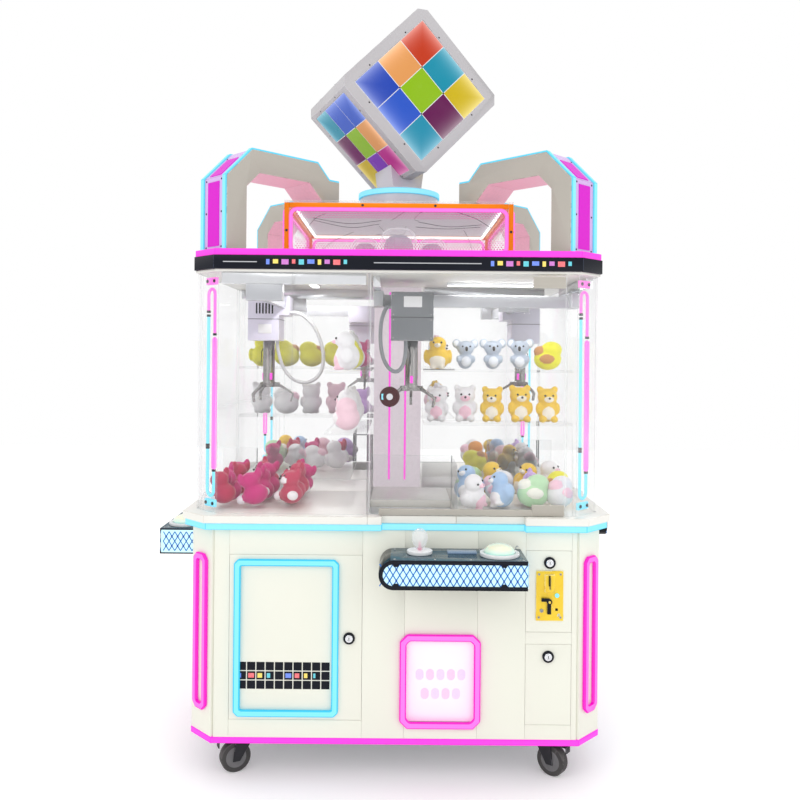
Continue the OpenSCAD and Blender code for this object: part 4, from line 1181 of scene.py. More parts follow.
def archSkins():
    rims, glow, soffits = Shape(), Shape(), Shape()
    spots = []
    for at in corners:
        for shape in (rims, glow, soffits):
            shape.at = at
        for a, b in zip(arch["rim"], arch["rim"][1:]):
            strap(rims, a, b, arch["lilac"], 0.0012, 0.0005)
        strap(glow, (0.8712, 1.748), (0.8712, 1.962), arch["diffuser"], 0.0022)
        strap(glow, (0.8652, 1.9835), (0.797, 2.0515), arch["diffuser"], 0.0022)
        strap(glow, (0.744, 2.0782), (0.514, 2.0782), arch["diffuser"], 0.0012)
        # soffit plates that glow pink: painted light
        for k in range(4):
            a = Vector(arch["soffit"][k])
            b = Vector(arch["soffit"][k + 1])
            strap(soffits, a, b, arch["band"], 0.0008, 0.0008)
        turn = at.to_3x3()
        for s, z, aim in ((0.8712, 1.745, (1, 0)), (0.8712, 1.86, (1, 0)), (0.8712, 1.968, (1, 0)),
                          (0.79, 2.0585, (0.7, 0.7)), (0.73, 2.0782, (0, 1)), (0.53, 2.0782, (0, 1))):
            for t in (-0.045, 0.045):
                spots.append((at @ Vector((s, t, z)), turn @ Vector((aim[0], 0, aim[1]))))
    addPiece("arch_rims", rims.made("archRims"), finish["lilacRim"], "cabinet", "lilac_grey")
    addPiece("arch_diffusers", glow.made("archGlow"), finish["magentaLight"], "cabinet", "pink_light")
    addPiece("arch_soffits", soffits.made("archSoffits"), finish["soffitPaintedPinkLight"], "cabinet", "lilac_grey")
    addScrews("arch_screws", spots, "cabinet", "bright_metal", "screwDark", 0.0036, 0.0014)


archSkins()
print("neon, cube, light box and arches")


# control panels: diamond mesh over light, rim with notches, crystal stick, dome and display

panel = {"x0": -0.053, "x1": 0.405, "z0": 0.673, "high": 0.092, "front": -0.846, "inset": 0.013,
         "wide": 0.0206,
         "tall": 0.034, "stick": (0.075, -0.751), "pivot": 0.735, "dome": (0.326, -0.770), "top": 0.765}


def panelOutline(inset, notch=0.0):
    # rounded left end, square right end; notch pushes four trapezoids inwards
    radius = panel["high"] / 2
    cx = panel["x0"] + radius
    cz = panel["z0"] + radius
    r = radius - inset
    right = panel["x1"] - 0.001
    steps = []
    for x in (0.0, 0.332):
        steps += [x - 0.011, x - 0.006, x + 0.006, x + 0.011]
    top, low = [], []
    for k, x in enumerate(steps):
        dip = notch if k % 4 in (1, 2) else 0.0
        low.append((x, cz - r + dip))
        top.append((x, cz + r - dip))
    arc = [(cx + r * math.cos(math.radians(a)), cz + r * math.sin(math.radians(a)))
           for a in range(105, 256, 10)]
    return [(right, cz - r), (right, cz + r)] + top[::-1] + arc + low


def panelFronts():
    rims, backs = Shape(), Shape()
    spots, turnsAt = [], []
    for i, at in enumerate(stations):
        outer = panelOutline(0.0006)
        inner = panelOutline(panel["inset"], 0.0075)
        y0, y1 = panel["front"] + 0.0002, panel["front"] + 0.002
        rims.at = at
        loops = [[rims.mesh.verts.new((x, y, z)) for x, z in line]
                 for line, y in ((outer, y1), (outer, y0), (inner, y0), (inner, y1))]
        count = len(outer)
        for a, b in zip(loops, loops[1:] + loops[:1]):
            for k in range(count):
                j = (k + 1) % count
                rims.mesh.faces.new((a[k], a[j], b[j], b[k]))
        rims.settle([v for loop in loops for v in loop])
        backs.at = at @ Matrix.Rotation(math.radians(90), 4, "X")
        backs.plate(panelOutline(0.0098), -panel["front"] - 0.0055, -panel["front"] - 0.0045)
        backs.at = at
        backs.block((panel["x1"] + 0.0006, -0.840, panel["z0"] + 0.006),
                    (panel["x1"] + 0.0016, -0.686, 0.759))
        for row in range(2):
            for k in range(24):
                x = panel["x1"] - 0.0015 - (k + 0.5) * panel["wide"]
                z = panel["z0"] + panel["high"] / 2 + (row - 0.5) * panel["tall"]
                reach = math.hypot(min(x - panel["wide"] / 2 + 0.007, 0),
                                   (row - 0.5) * 2 * panel["tall"] * 0.6)
                if reach < 0.0475:
                    spots.append(at @ Vector((x, panel["front"] + 0.003, z)))
                    turnsAt.append((0, 0, math.radians(90 * i)))
            for k in range(7):
                y = panel["front"] + 0.013 + (k + 0.5) * panel["wide"]
                z = panel["z0"] + panel["high"] / 2 + (row - 0.5) * panel["tall"]
                spots.append(at @ Vector((panel["x1"] + 0.0024, y, z)))
                turnsAt.append((0, 0, math.radians(90 * i + 90)))
    mesh = grown("panel_mesh", pointMesh(spots, turn=turnsAt), patterns["mesh"], {}, finish["meshWire"])
    addPiece("panel_mesh", mesh, finish["meshWire"], "cabinet", "lit_mesh")
    addPiece("mesh_backs", backs.made("meshBacks"), finish["meshLight"], "cabinet", "lit_mesh",
             ("panel_grilles",))
    addPiece("mesh_rims", rims.made("meshRims"), finish["blackGloss"], "cabinet", "black_gloss")


def crystalGrip(shape, at):
    # an egg cut in flat facets, each ring turned half a step from the last
    profile = [(0.0045, 0.046), (0.010, 0.047), (0.016, 0.052), (0.0215, 0.061), (0.025, 0.072),
               (0.0258, 0.082), (0.0235, 0.093), (0.017, 0.102), (0.009, 0.1075), (0.0, 0.109)]
    sides = 14
    rings = []
    for n, (radius, height) in enumerate(profile):
        if radius == 0:
            rings.append([shape.mesh.verts.new((0, 0, height))])
            continue
        angles = [math.tau * (k + n / 2) / sides for k in range(sides)]
        rings.append([shape.mesh.verts.new((radius * math.cos(a), radius * math.sin(a), height))
                      for a in angles])
    for low, high in zip(rings, rings[1:]):
        for k in range(sides):
            j = (k + 1) % sides
            if len(high) == 1:
                shape.mesh.faces.new((low[k], low[j], high[0]))
            else:
                shape.mesh.faces.new((low[k], low[j], high[k]))
                shape.mesh.faces.new((high[k], low[j], high[j]))
    shape.mesh.faces.new(rings[0])
    shape.settle([v for ring in rings for v in ring], at)


def controls():
    fixed = {"grip": Shape(), "stem": Shape(), "dome": Shape(), "display": Shape(), "disc": Shape(),
             "hook": Shape()}
    moving = {"grip": Shape(), "stem": Shape(), "dome": Shape()}
    spots = []
    for i, at in enumerate(stations):
        part = moving if i == 0 else fixed
        stick = at @ Matrix.Translation((*panel["stick"], panel["pivot"]))
        crystalGrip(part["grip"], stick)
        part["stem"].lathe([(0, -0.022), (0.005, -0.022), (0.005, -0.006), (0.008, -0.005), (0.008, 0.005),
                            (0.005, 0.006), (0.005, 0.040), (0.0075, 0.044), (0.0075, 0.0475),
                            (0.004, 0.0475), (0.0035, 0.06), (0.0, 0.07)], 16, stick)
        button = at @ Matrix.Translation((*panel["dome"], panel["top"] + 0.008))
        part["dome"].lathe([(0, -0.026), (0.0412, -0.026), (0.0412, 0), (0.048, 0), (0.0484, 0.006),
                            (0.0472, 0.010), (0.044, 0.0148), (0.038, 0.0198), (0.030, 0.0238),
                            (0.020, 0.027), (0.010, 0.0288), (0, 0.0295)], 48, button)
        fixed["disc"].lathe([(0.034, 0.0102), (0.0395, 0.0102), (0.0388, 0.0108), (0.0345, 0.0110),
                             (0.034, 0.0106)],
                            36, at @ Matrix.Translation((*panel["stick"], panel["top"])))
        fixed["display"].block((0.163, -0.760, 0.7654), (0.256, -0.720, 0.770), at, rim=0.001)
        path = [(0.386, -0.705, 0.765), (0.386, -0.705, 0.776), (0.390, -0.705, 0.781),
                (0.394, -0.705, 0.777)]
        fixed["hook"].sweep([at @ Vector(p) for p in path], 0.0016, 6)
        for x, y in ((-0.004, -0.832), (-0.004, -0.70), (0.120, -0.832), (0.230, -0.832), (0.392, -0.832),
                     (0.27, -0.70)):
            spots.append((at @ Vector((x, y, 0.765)), Vector((0, 0, 1))))
    addPiece("stick_grip", moving["grip"].made("grip", 5), finish["crystal"], "joystick_stick", "crystal",
             ("joystick_stick",))
    addPiece("stick_stem", moving["stem"].made("stem"), finish["pinkStem"], "joystick_stick", "crystal")
    addPiece("dome_cap", moving["dome"].made("dome"), finish["creamDome"], "dome_button", "white_plastic",
             ("dome_button",))
    addPiece("fixed_grips", fixed["grip"].made("grips", 5), finish["crystal"], "cabinet", "crystal")
    addPiece("fixed_stems", fixed["stem"].made("stems"), finish["pinkStem"], "cabinet", "crystal")
    addPiece("fixed_domes", fixed["dome"].made("domes"), finish["creamDome"], "cabinet", "white_plastic",
             ("panel_fittings",))
    addPiece("stick_discs", fixed["disc"].made("discs"), finish["frostDome"], "cabinet", "white_plastic")
    addPiece("displays", fixed["display"].made("displays"), finish["displayGlass"], "cabinet", "black_gloss")
    addPiece("panel_hooks", fixed["hook"].made("hooks"), finish["brightMetal"], "cabinet", "bright_metal")
    addScrews("panel_screws", spots, "cabinet", "bright_metal", "screwSteel", 0.0035)


panelFronts()
controls()


# doors: locks, bands of squares, flap print, coin plate trim

# how far in front of the axis the doors' faces stand
doorFace = -0.680


def lockFace(black, bright, at):
    # a ring with a keyway, facing -Y
    face = at @ Matrix.Rotation(math.radians(90), 4, "X")
    black.lathe([(0, 0), (0.019, 0), (0.019, 0.006), (0.017, 0.0088), (0.0135, 0.009), (0.013, 0.006),
                 (0, 0.006)],
                32, face)
    bright.lathe([(0, 0.0055), (0.0122, 0.0055), (0.0122, 0.0085), (0.011, 0.0095), (0.0065, 0.0095),
                  (0.006, 0.0086), (0, 0.0086)], 28, face)
    black.block((-0.0011, -0.0045, 0.0084), (0.0011, 0.0045, 0.0091), face)


def doorLocks():
    places = {"service_door": (-0.15, 0.47), "coin_door": (0.50, 0.721), "cash_door": (0.497, 0.416)}
    for door, (x, z) in places.items():
        black, bright = Shape(), Shape()
        lockFace(black, bright, Matrix.Translation((x, doorFace, z)))
        addPiece(door + "_lock", black.made("lock"), finish["blackGloss"], door, "black_gloss", (door,))
        addPiece(door + "_cylinder", bright.made("cylinder"), finish["brightMetal"], door, "bright_metal")
    black, bright = Shape(), Shape()
    for at in stations[1:]:
        for x, z in places.values():
            lockFace(black, bright, at @ Matrix.Translation((x, doorFace, z)))
    addPiece("side_locks", black.made("locks"), finish["blackGloss"], "cabinet", "black_gloss")
    addPiece("side_cylinders", bright.made("cylinders"), finish["brightMetal"], "cabinet", "bright_metal")
    black, bright, clip = Shape(), Shape(), Shape()
    face = Matrix.Translation((-0.025, -0.672, 1.256)) @ Matrix.Rotation(math.radians(90), 4, "X")
    black.lathe([(0, 0), (0.033, 0), (0.033, 0.005), (0.030, 0.008), (0.022, 0.0085), (0.021, 0.012),
                 (0, 0.012)],
                36, face)
    bright.lathe([(0, 0.0119), (0.0115, 0.0119), (0.0105, 0.0138), (0.007, 0.0138), (0.0065, 0.013),
                  (0, 0.013)], 24,
                 face)
    clip.block((-0.052, -0.681, 1.246), (-0.028, -0.6725, 1.266), rim=0.002)
    addPiece("glass_lock", black.made("glassLock"), finish["darkRed"], "glass_door", "black_gloss",
             ("glass_door_fittings",))
    addPiece("glass_lock_cylinder", bright.made("glassCylinder"), finish["brightMetal"], "glass_door",
             "bright_metal")
    addPiece("glass_lock_clip", clip.made("clip"), finish["cyanStrip"], "glass_door", "cyan_light")


band = {"x0": -0.511, "z0": 0.303, "pitch": 0.0302, "square": 0.0268, "columns": 10, "thick": 0.0006}
chips = ((0.05, 0.16, 0.75), (0.8, 0.06, 0.08), (0.85, 0.62, 0.04), (0.02, 0.5, 0.6), (0.5, 0.08, 0.5))


def doorBands():
    for body, places in (("service_door", stations[:1]), ("cabinet", stations[1:])):
        squares, colours = Shape(), Shape()
        for at in places:
            for row in range(3):
                for k in range(band["columns"]):
                    x = band["x0"] + k * band["pitch"]
                    z = band["z0"] + row * band["pitch"]
                    y = doorFace
                    squares.block((x, y - band["thick"], z), (x + band["square"], y, z + band["square"]), at)
                    if row == 1 and k % 5 != 4:
                        colours.tint = chips[k % 5]
                        w = 0.007 + 0.004 * ((k * 3) % 4)
                        colours.block((x + 0.004, y - 0.0009, z + 0.006),
                                      (x + 0.004 + w, y - 0.0005, z + 0.021), at)
        label = "service_band" if body == "service_door" else "side_bands"
        addPiece(label, squares.made(label), finish["blackGloss"], body, "black_gloss")
        addPiece(label + "_chips", colours.made(label), finish["chipPrint"], body, "colour_tiles")


def flapPrints():
    for body, places in (("prize_flap", stations[:1]), ("cabinet", stations[1:])):
        pads = Shape()
        for at in places:
            for row, count in enumerate((5, 4)):
                for k in range(count):
                    x = 0.1485 + (k - (count - 1) / 2) * 0.034
                    z = 0.352 - row * 0.062
                    pads.tint = (0.92, 0.50, 0.72) if (k + row) % 2 else (0.72, 0.55, 0.86)
                    ring = roundedPath(x - 0.013, x + 0.013, z - 0.018, z + 0.018, 0.0125, 5)
                    side = at @ Matrix.Rotation(math.radians(90), 4, "X")
                    pads.plate(ring, 0.674, 0.6745, side)
        label = "flap_print" if body == "prize_flap" else "side_flap_prints"
        addPiece(label, pads.made(label), finish["chipPrint"], body, "white_plastic")


def headerDashes():
    dashes, lines = Shape(), Shape()
    for at in stations:
        for start in (-0.43, 0.30):
            x = start
            for k in range(10):
                w = 0.011 + 0.006 * ((k * 7) % 3)
                dashes.tint = chips[(k * 2) % 5]
                low = 1.683 + 0.003 * (k % 2)
                dashes.block((x, -0.6836, low), (x + w, -0.6828, 1.7), at)
                x += w + 0.011
        for a, b in ((-0.57, -0.46), (-0.08, 0.27)):
            lines.block((a, -0.6836, 1.6895), (b, -0.6828, 1.6925), at)
    addPiece("header_dashes", dashes.made("dashes"), finish["chipPrint"], "cabinet", "colour_tiles")
    addPiece("header_lines", lines.made("lines"), finish["craneGrey"], "cabinet", "crane_grey")


def coinTrim():
    slot, bead, ring = Shape(), Shape(), Shape()
    slot.block((0.4955, -0.6975, 0.648), (0.5005, -0.6965, 0.683), rim=0.0004)
    slot.block((0.519, -0.6858, 0.566), (0.527, -0.6842, 0.574), rim=0.0006)
    face = Matrix.Rotation(math.radians(90), 4, "X")
    bead.lathe([(0, 0.0), (0.007, 0), (0.007, 0.003), (0.005, 0.005), (0, 0.0055)], 20,
               Matrix.Translation((0.524, -0.6843, 0.616)) @ face)
    ring.lathe([(0, 0), (0.006, 0), (0.006, 0.002), (0.0035, 0.0026), (0.003, 0.001), (0, 0.001)], 20,
               Matrix.Translation((0.474, -0.6843, 0.566)) @ face)
    addPiece("coin_slot", slot.made("slot"), finish["blackGloss"], "coin_door", "black_gloss")
    addPiece("coin_button", bead.made("bead"), finish["cyanStrip"], "coin_door", "cyan_light")
    addPiece("coin_ring", ring.made("ring"), finish["steelPlate"], "coin_door", "steel_plate")
    spots = [(Vector((x, -0.6844, z)), Vector((0, -1, 0))) for x in (0.4655, 0.5355) for z in (0.544, 0.684)]
    addScrews("coin_screws", spots, "coin_door", "bright_metal", "screwSteel", 0.0042)


doorLocks()
doorBands()
flapPrints()
headerDashes()
coinTrim()
print("panels, locks, prints and coin trim")


# cranes: seams, blank plates, vents, screws and finger clips

cranes = {"front": (0.05, -0.40, 0, "trolley"), "left": (0.15, -0.50, 3, "crane_left"),
          "right": (0.15, -0.52, 1, "crane_right"), "rear": (0.15, -0.50, 2, "crane_rear")}


def craneDetails(key):
    x, y, i, body = cranes[key]
    seams, plates, dark, clips = Shape(), Shape(), Shape(), Shape()
    at = stations[i] @ Matrix.Translation((x, y, 0))
    spots = []
    # seam round the box, a small name plate left blank, and vents
    seams.block((-0.0756, -0.0706, 1.5235), (0.0756, 0.0486, 1.5255), at)
    plates.block((-0.030, -0.0712, 1.560), (0.034, -0.0701, 1.598), at, rim=0.0004)
    plates.block((0.0752, -0.03, 1.47), (0.0764, 0.02, 1.505), at, rim=0.0004)
    for k in range(6):
        dark.block((0.0753, -0.04 + k * 0.012, 1.545), (0.0758, -0.034 + k * 0.012, 1.585), at)
    for dx in (-0.066, 0.066):
        for z in (1.452, 1.515, 1.534, 1.605):
            spots.append((at @ Vector((dx, -0.0705, z)), outward(i)))
    # a wire down the coil, and a clip over each finger
    hub = -0.006
    dark.sweep([at @ Vector(p) for p in ((-0.012, hub, 1.441), (-0.013, hub - 0.012, 1.425),
                                         (-0.006, hub - 0.024, 1.40), (-0.008, hub - 0.025, 1.36))], 0.0014,
                                         5)
    for k in range(3):
        turn = at @ Matrix.Rotation(math.radians(120 * k - 90), 4, "Z")
        clips.block((0.0215, -0.005, 1.292), (0.0245, 0.005, 1.318), turn, rim=0.001)
    addPiece("crane_" + key + "_seams", seams.made("seams"), finish["blackSteel"], body, "crane_grey")
    addPiece("crane_" + key + "_plates", plates.made("plates"), finish["whitePlastic"], body, "white_plastic")
    addPiece("crane_" + key + "_vents", dark.made("vents"), finish["blackGloss"], body, "black_gloss")
    addScrews("crane_" + key + "_screws", spots, body, "bright_metal", "screwSteel", 0.0026, 0.001)
    clipBody = "claw" if key == "front" else body
    addPiece("crane_" + key + "_clips", clips.made("clips"), finish["pinkStrip"], clipBody, "pink_light")


for key in cranes:
    craneDetails(key)


# ribbed white lamps under the ceiling, and glowing strips down the core column

lamp = {"x": (0.186, 0.554), "y": -0.315, "z": 1.6495, "pitch": 0.0088}
coreLine = {"x": (-0.035, 0.027), "wide": 0.008, "front": -0.0942, "thick": 0.001, "low": 0.90, "high": 1.64}


def lampRibs():
    spots, turnsAt = [], []
    for i, at in enumerate(stations):
        count = int((lamp["x"][1] - lamp["x"][0]) / lamp["pitch"])
        for k in range(count + 1):
            spots.append(at @ Vector((lamp["x"][0] + k * lamp["pitch"], lamp["y"], lamp["z"])))
            turnsAt.append((0, 0, math.radians(90 * i)))
    mesh = grown("lamp_ribs", pointMesh(spots, turn=turnsAt), patterns["ribs"],
                 {"Length": 0.026, "Radius": 0.0028}, finish["lampLight"])
    addPiece("lamp_ribs", mesh, finish["lampLight"], "cabinet", "cyan_light")
    glow = Shape()
    for at in stations:
        for x in coreLine["x"]:
            glow.block((x, coreLine["front"], coreLine["low"]),
                       (x + coreLine["wide"], coreLine["front"] + coreLine["thick"], coreLine["high"]), at,
                       rim=0.0003)
    addPiece("core_strips", glow.made("coreStrips"), finish["pinkStrip"], "cabinet", "pink_light")


lampRibs()


# casters: hub caps on both sides

def casterTrim():
    for key in ("fl", "fr", "rl", "rr"):
        low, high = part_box("caster_wheel_" + key)
        centre = (low + high) / 2
        joint = next(j for j in frame["joints"] if j["name"] == "wheel_roll_" + key)
        axis = Vector(joint["axis"]).normalized()
        turn = axis.to_track_quat("Z", "Y").to_matrix().to_4x4()
        caps = Shape(Matrix.Translation(centre) @ turn)
        for side in (0, 180):
            flip = Matrix.Rotation(math.radians(side), 4, "X")
            caps.lathe([(0.0065, 0.0150), (0.034, 0.0150), (0.034, 0.0164), (0.030, 0.0172), (0.026, 0.0164),
                        (0.013, 0.0164), (0.011, 0.0176), (0.0065, 0.0176)], 36, flip)
        addPiece("caster_caps_" + key, caps.made("caps"), finish["hubGrey"], "wheel_" + key, "tread_rubber")


casterTrim()
print("cranes, lamps and casters")


# plush toys: five shapes grown from joined balls, then set out on points

toys = {
    # each ball: centre, radii, part (0 dye, 1 trim, 2 dark); a toy is about 0.11 m tall with its foot at z 0
    "bear": [((0, 0, 0.033), (0.030, 0.026, 0.032), 0), ((0, -0.004, 0.078), (0.031, 0.027, 0.027), 0),
             ((-0.023, 0, 0.101), (0.011, 0.007, 0.011), 0), ((0.023, 0, 0.101), (0.011, 0.007, 0.011), 0),
             ((0, -0.027, 0.072), (0.014, 0.010, 0.010), 1), ((0, -0.020, 0.030), (0.018, 0.010, 0.020), 1),
             ((-0.029, -0.010, 0.043), (0.009, 0.010, 0.018), 0),
             ((0.029, -0.010, 0.043), (0.009, 0.010, 0.018), 0),
             ((-0.018, -0.020, 0.011), (0.012, 0.015, 0.011), 0),
             ((0.018, -0.020, 0.011), (0.012, 0.015, 0.011), 0)],
    "bigEars": [((0, 0, 0.030), (0.027, 0.024, 0.029), 0), ((0, -0.004, 0.074), (0.030, 0.025, 0.026), 0),
                ((-0.031, 0.002, 0.090), (0.016, 0.007, 0.017), 0),
                ((0.031, 0.002, 0.090), (0.016, 0.007, 0.017), 0),
                ((-0.031, -0.004, 0.090), (0.010, 0.005, 0.011), 1),
                ((0.031, -0.004, 0.090), (0.010, 0.005, 0.011), 1),
                ((0, -0.019, 0.028), (0.016, 0.009, 0.018), 1),
                ((0, -0.029, 0.072), (0.006, 0.005, 0.009), 2),
                ((-0.025, -0.012, 0.036), (0.009, 0.010, 0.014), 0),
                ((0.025, -0.012, 0.036), (0.009, 0.010, 0.014), 0)],
    "bird": [((0, 0, 0.036), (0.036, 0.032, 0.036), 0), ((0, -0.006, 0.078), (0.027, 0.025, 0.024), 0),
             ((0, -0.033, 0.074), (0.010, 0.010, 0.006), 1),
             ((-0.036, 0.002, 0.040), (0.009, 0.018, 0.022), 0),
             ((0.036, 0.002, 0.040), (0.009, 0.018, 0.022), 0),
             ((0, -0.022, 0.026), (0.024, 0.014, 0.022), 1),
             ((-0.014, -0.022, 0.006), (0.010, 0.014, 0.006), 1),
             ((0.014, -0.022, 0.006), (0.010, 0.014, 0.006), 1)],
    "bean": [((0, 0, 0.034), (0.042, 0.034, 0.034), 0), ((0.012, -0.004, 0.062), (0.032, 0.028, 0.026), 0),
             ((-0.022, -0.008, 0.056), (0.020, 0.020, 0.018), 1),
             ((0, -0.030, 0.034), (0.022, 0.008, 0.014), 1)],
    "flop": [((0, 0, 0.028), (0.036, 0.030, 0.028), 0), ((0.006, -0.012, 0.066), (0.028, 0.024, 0.023), 0),
             ((-0.022, -0.010, 0.080), (0.010, 0.009, 0.018), 0),
             ((0.032, -0.006, 0.078), (0.010, 0.009, 0.018), 0),
             ((-0.034, -0.018, 0.020), (0.014, 0.016, 0.013), 1),
             ((0.036, -0.018, 0.018), (0.014, 0.016, 0.013), 1),
             ((0.006, -0.032, 0.060), (0.013, 0.009, 0.010), 1)]}
eyes = {"bear": (0.012, -0.0285, 0.083), "bigEars": (0.013, -0.0265, 0.080), "bird": (0.012, -0.0285, 0.083),
        "flop": (0.010, -0.034, 0.072), "bean": None}


def toyPrototype(key):
    balls = toys[key]
    shape = Shape()
    for centre, size, part in balls:
        shape.ball(centre, size)
    source = bpy.data.objects.new(key, shape.made(key))
    scene.collection.objects.link(source)
    remesh = source.modifiers.new("remesh", "REMESH")
    remesh.mode = "VOXEL"
    remesh.voxel_size = 0.0038
    remesh.use_smooth_shade = True
    relax = source.modifiers.new("relax", "SMOOTH")
    relax.factor = 0.5
    relax.iterations = 3
    mesh = baked(source)
    parts = []
    for vert in mesh.vertices:
        nearest = min(balls, key=lambda b: sum(((vert.co[k] - b[0][k]) / b[1][k]) ** 2 for k in range(3)))
        parts.append(float(nearest[2]))
    if eyes[key]:
        whole = bmesh.new()
        whole.from_mesh(mesh)
        before = len(whole.verts)
        x, y, z = eyes[key]
        for spot, size in (((-x, y, z), 0.0032), ((x, y, z), 0.0032), ((0, y - 0.0085, z - 0.008), 0.0036)):
            made = bmesh.ops.create_icosphere(whole, subdivisions=2, radius=size)["verts"]
            bmesh.ops.translate(whole, vec=spot, verts=made)
        parts += [2.0] * (len(whole.verts) - before)
        whole.to_mesh(mesh)
        whole.free()
        mesh.shade_smooth()
    layer = mesh.attributes.new("part", "FLOAT", "POINT")
    layer.data.foreach_set("value", parts)
    prototype = bpy.data.objects.new("toy_" + key, mesh)
    scene.collection.objects.link(prototype)
    return prototype


def pilePattern():
    # one toy on each point, turned and scaled by the point's attributes
    g = Pattern("toyPile", {"Toy": ("Object", None), "Finish": ("Material", None)})
    toy = g.node("GeometryNodeObjectInfo", None, {"Object": g.given("Toy")}, "Geometry")
    return g.ends(g.node("GeometryNodeInstanceOnPoints", None,
                         {"Points": g.given("Geometry"), "Instance": toy, "Rotation": g.named("turn"),
                          "Scale": g.named("size", "FLOAT")}))


palettes = {"white": ((0.86, 0.85, 0.86), (0.93, 0.60, 0.70)),
            "gold": ((0.90, 0.60, 0.05), (0.93, 0.87, 0.74)),
            "lemon": ((0.87, 0.84, 0.04), (0.62, 0.30, 0.10)),
            "grey": ((0.50, 0.57, 0.66), (0.80, 0.84, 0.88)),
            "magenta": ((0.60, 0.012, 0.19), (0.88, 0.84, 0.88)),
            "crimson": ((0.52, 0.015, 0.08), (0.90, 0.86, 0.87)),
            "lilac": ((0.62, 0.40, 0.78), (0.92, 0.86, 0.93)),
            "mint": ((0.52, 0.78, 0.48), (0.90, 0.90, 0.80)),
            "sky": ((0.42, 0.60, 0.84), (0.92, 0.92, 0.92)),
            "blush": ((0.90, 0.62, 0.70), (0.93, 0.90, 0.90)),
            "orange": ((0.90, 0.36, 0.04), (0.93, 0.86, 0.70))}
shelves = {
    # per station: upper shelf, lower shelf, floor, each a list of toy and dye
    0: ("bird gold,bigEars grey,bigEars grey,bigEars grey,bean lemon",
        "bear white,bear white,bear gold,bear gold,bear gold",
        "bird white,bird sky,bean mint,bird sky,bean white,bird gold,bean mint,flop lilac,bird gold,"
        "bean white,bean lemon,bird white"),
    1: ("bigEars grey,bear blush,bird lemon,bear white,bigEars grey",
        "bear white,flop sky,bear gold,bear white,bean blush",
        "bean white,bird gold,bean lemon,bird white,bean blush,bird orange,bean mint,bird sky,bean white,"
        "flop lilac,bird gold,bean white"),
    2: ("flop magenta,bean lemon,bean lemon,bean lemon,bird lemon",
        "flop lilac,bear blush,bear white,bean white,bear white",
        "bean lilac,flop crimson,bird white,bean blush,flop magenta,bean white,bird sky,flop crimson,"
        "bean white,bird gold,bean mint,flop magenta"),
    3: ("bean white,bird lemon,bear white,bean lemon,bird white",
        "bean white,bear white,bean white,bear white,bean blush",
        "flop magenta,flop crimson,flop magenta,flop crimson,flop magenta,flop crimson,flop magenta,"
        "flop magenta,flop crimson,flop crimson,flop magenta,flop crimson")}


layout = {"seed": 7, "first": 0.155, "pitch": 0.106, "depth": -0.169, "heights": (1.3384, 1.1364),
          "pile": (0.262, -0.585, 0.8828), "step": (0.098, 0.112), "shelfSize": {"bigEars": 1.14},
          "usualSize": 1.27}


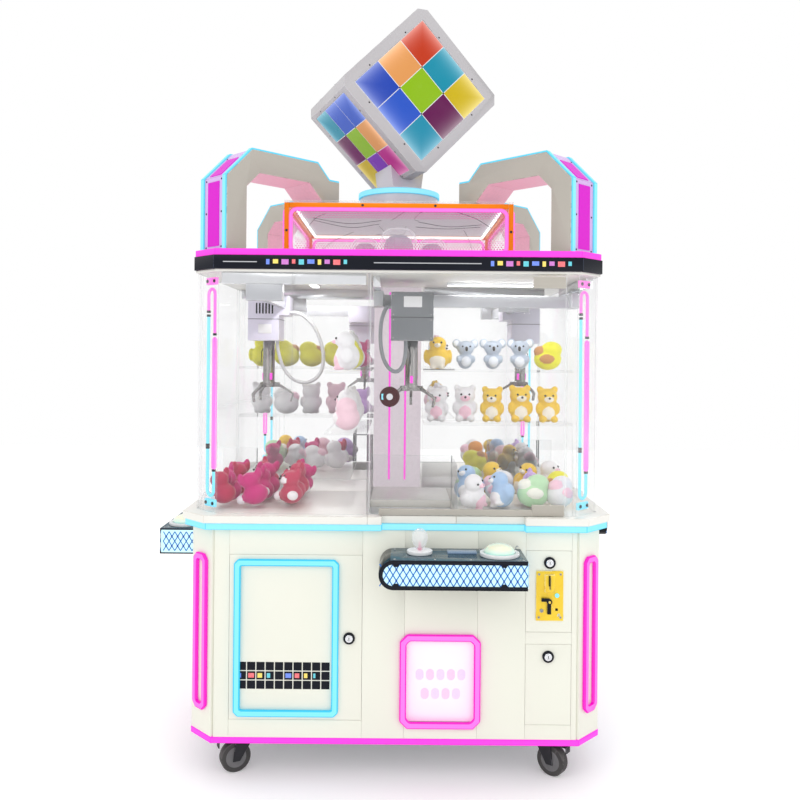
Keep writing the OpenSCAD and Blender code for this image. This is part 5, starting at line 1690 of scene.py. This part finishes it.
def setOutToys():
    chance = random.Random(layout["seed"])
    pattern = pilePattern()
    prototypes = {key: toyPrototype(key) for key in toys}
    kinds = {key: {"spots": [], "turn": [], "size": [], "dye": [], "trim": []} for key in toys}
    for i, rows in shelves.items():
        for row, names in enumerate(rows):
            for k, name in enumerate(names.split(",")):
                kind, dye = name.split()
                if row < 2:
                    place = (layout["first"] + layout["pitch"] * k, layout["depth"], layout["heights"][row])
                    turn = (0, 0, chance.uniform(-0.25, 0.25))
                    size = chance.uniform(0.97, 1.03) * layout["shelfSize"].get(kind, layout["usualSize"])
                else:
                    x, y, z = layout["pile"]
                    place = (x + layout["step"][0] * (k // 3), y + layout["step"][1] * (k % 3), z)
                    turn = (chance.uniform(-0.35, 0.1), chance.uniform(-0.4, 0.4), chance.uniform(-1.3, 1.3))
                    size = chance.uniform(1.17, 1.29)
                bucket = kinds[kind]
                bucket["spots"].append(stations[i] @ Vector(place))
                bucket["turn"].append(tuple((stations[i].to_3x3() @ Euler(turn).to_matrix()).to_euler()))
                bucket["size"].append(size)
                bucket["dye"].append(palettes[dye][0])
                bucket["trim"].append(palettes[dye][1])
    total = 0
    for key, rows in kinds.items():
        points = pointMesh(rows.pop("spots"), **rows)
        mesh = grown("toys_" + key, points, pattern, {"Toy": prototypes[key]}, finish["plush"])
        piece = addPiece("toys_" + key, mesh, finish["plush"], "cabinet", "plush", ("plush_toys",))
        total += len(mesh.polygons)
    for prototype in prototypes.values():
        bpy.data.objects.remove(prototype)
    print("toys set out,", total, "faces")


setOutToys()


# floor and light

lights = {
    # where each stands, its size, its power and its colour
    "key": ((-2.6, -4.2, 3.6), 3.0, 34, (1.0, 0.99, 0.97)),
    "fill": ((3.0, -3.6, 2.4), 3.0, 20, (0.97, 0.98, 1.0)),
    "top": ((0, 0, 5.2), 3.5, 18, (1, 1, 1)), "back": ((0.8, 4.2, 3.0), 3.0, 24, (1, 1, 1))}
bayLamp = {"spot": (0.37, -0.345, 1.64), "size": (0.34, 0.03), "power": 0.95}


def studio():
    bpy.ops.mesh.primitive_plane_add(size=14, location=(0, 2, 0))
    floor = bpy.context.object
    floor.name = "floor"
    s = Surface("paleFloor")
    cloud = s.noise(1.5)
    floor.data.materials.append(s.done(colour=s.mix(cloud, (0.92, 0.92, 0.92), (0.90, 0.90, 0.90)),
                                       rough=0.8, glow=(1.0, 1.0, 1.0), power=0.18))
    for key, (spot, size, power, colour) in lights.items():
        light = bpy.data.lights.new(key, "AREA")
        light.size = size
        light.energy = power
        light.color = colour
        lampObject = bpy.data.objects.new(key, light)
        lampObject.location = spot
        lampObject.rotation_euler = (Vector((0, 0, 1.2)) - Vector(spot)).to_track_quat("-Z", "Y").to_euler()
        scene.collection.objects.link(lampObject)
    # the bays' own lamps throw their light down on the prizes
    for i, at in enumerate(stations):
        light = bpy.data.lights.new("bay" + str(i), "AREA")
        light.shape = "RECTANGLE"
        light.size, light.size_y = bayLamp["size"]
        light.energy = bayLamp["power"]
        lampObject = bpy.data.objects.new("bay" + str(i), light)
        lampObject.matrix_world = at @ Matrix.Translation(bayLamp["spot"])
        lampObject.visible_camera = False
        scene.collection.objects.link(lampObject)
    world = bpy.data.worlds.new("studio")
    world.use_nodes = True
    world.node_tree.nodes["Background"].inputs["Color"].default_value = (1, 1, 1, 1)
    world.node_tree.nodes["Background"].inputs["Strength"].default_value = 1.0
    scene.world = world
    scene.view_settings.view_transform = "Standard"


studio()
print("floor and light")
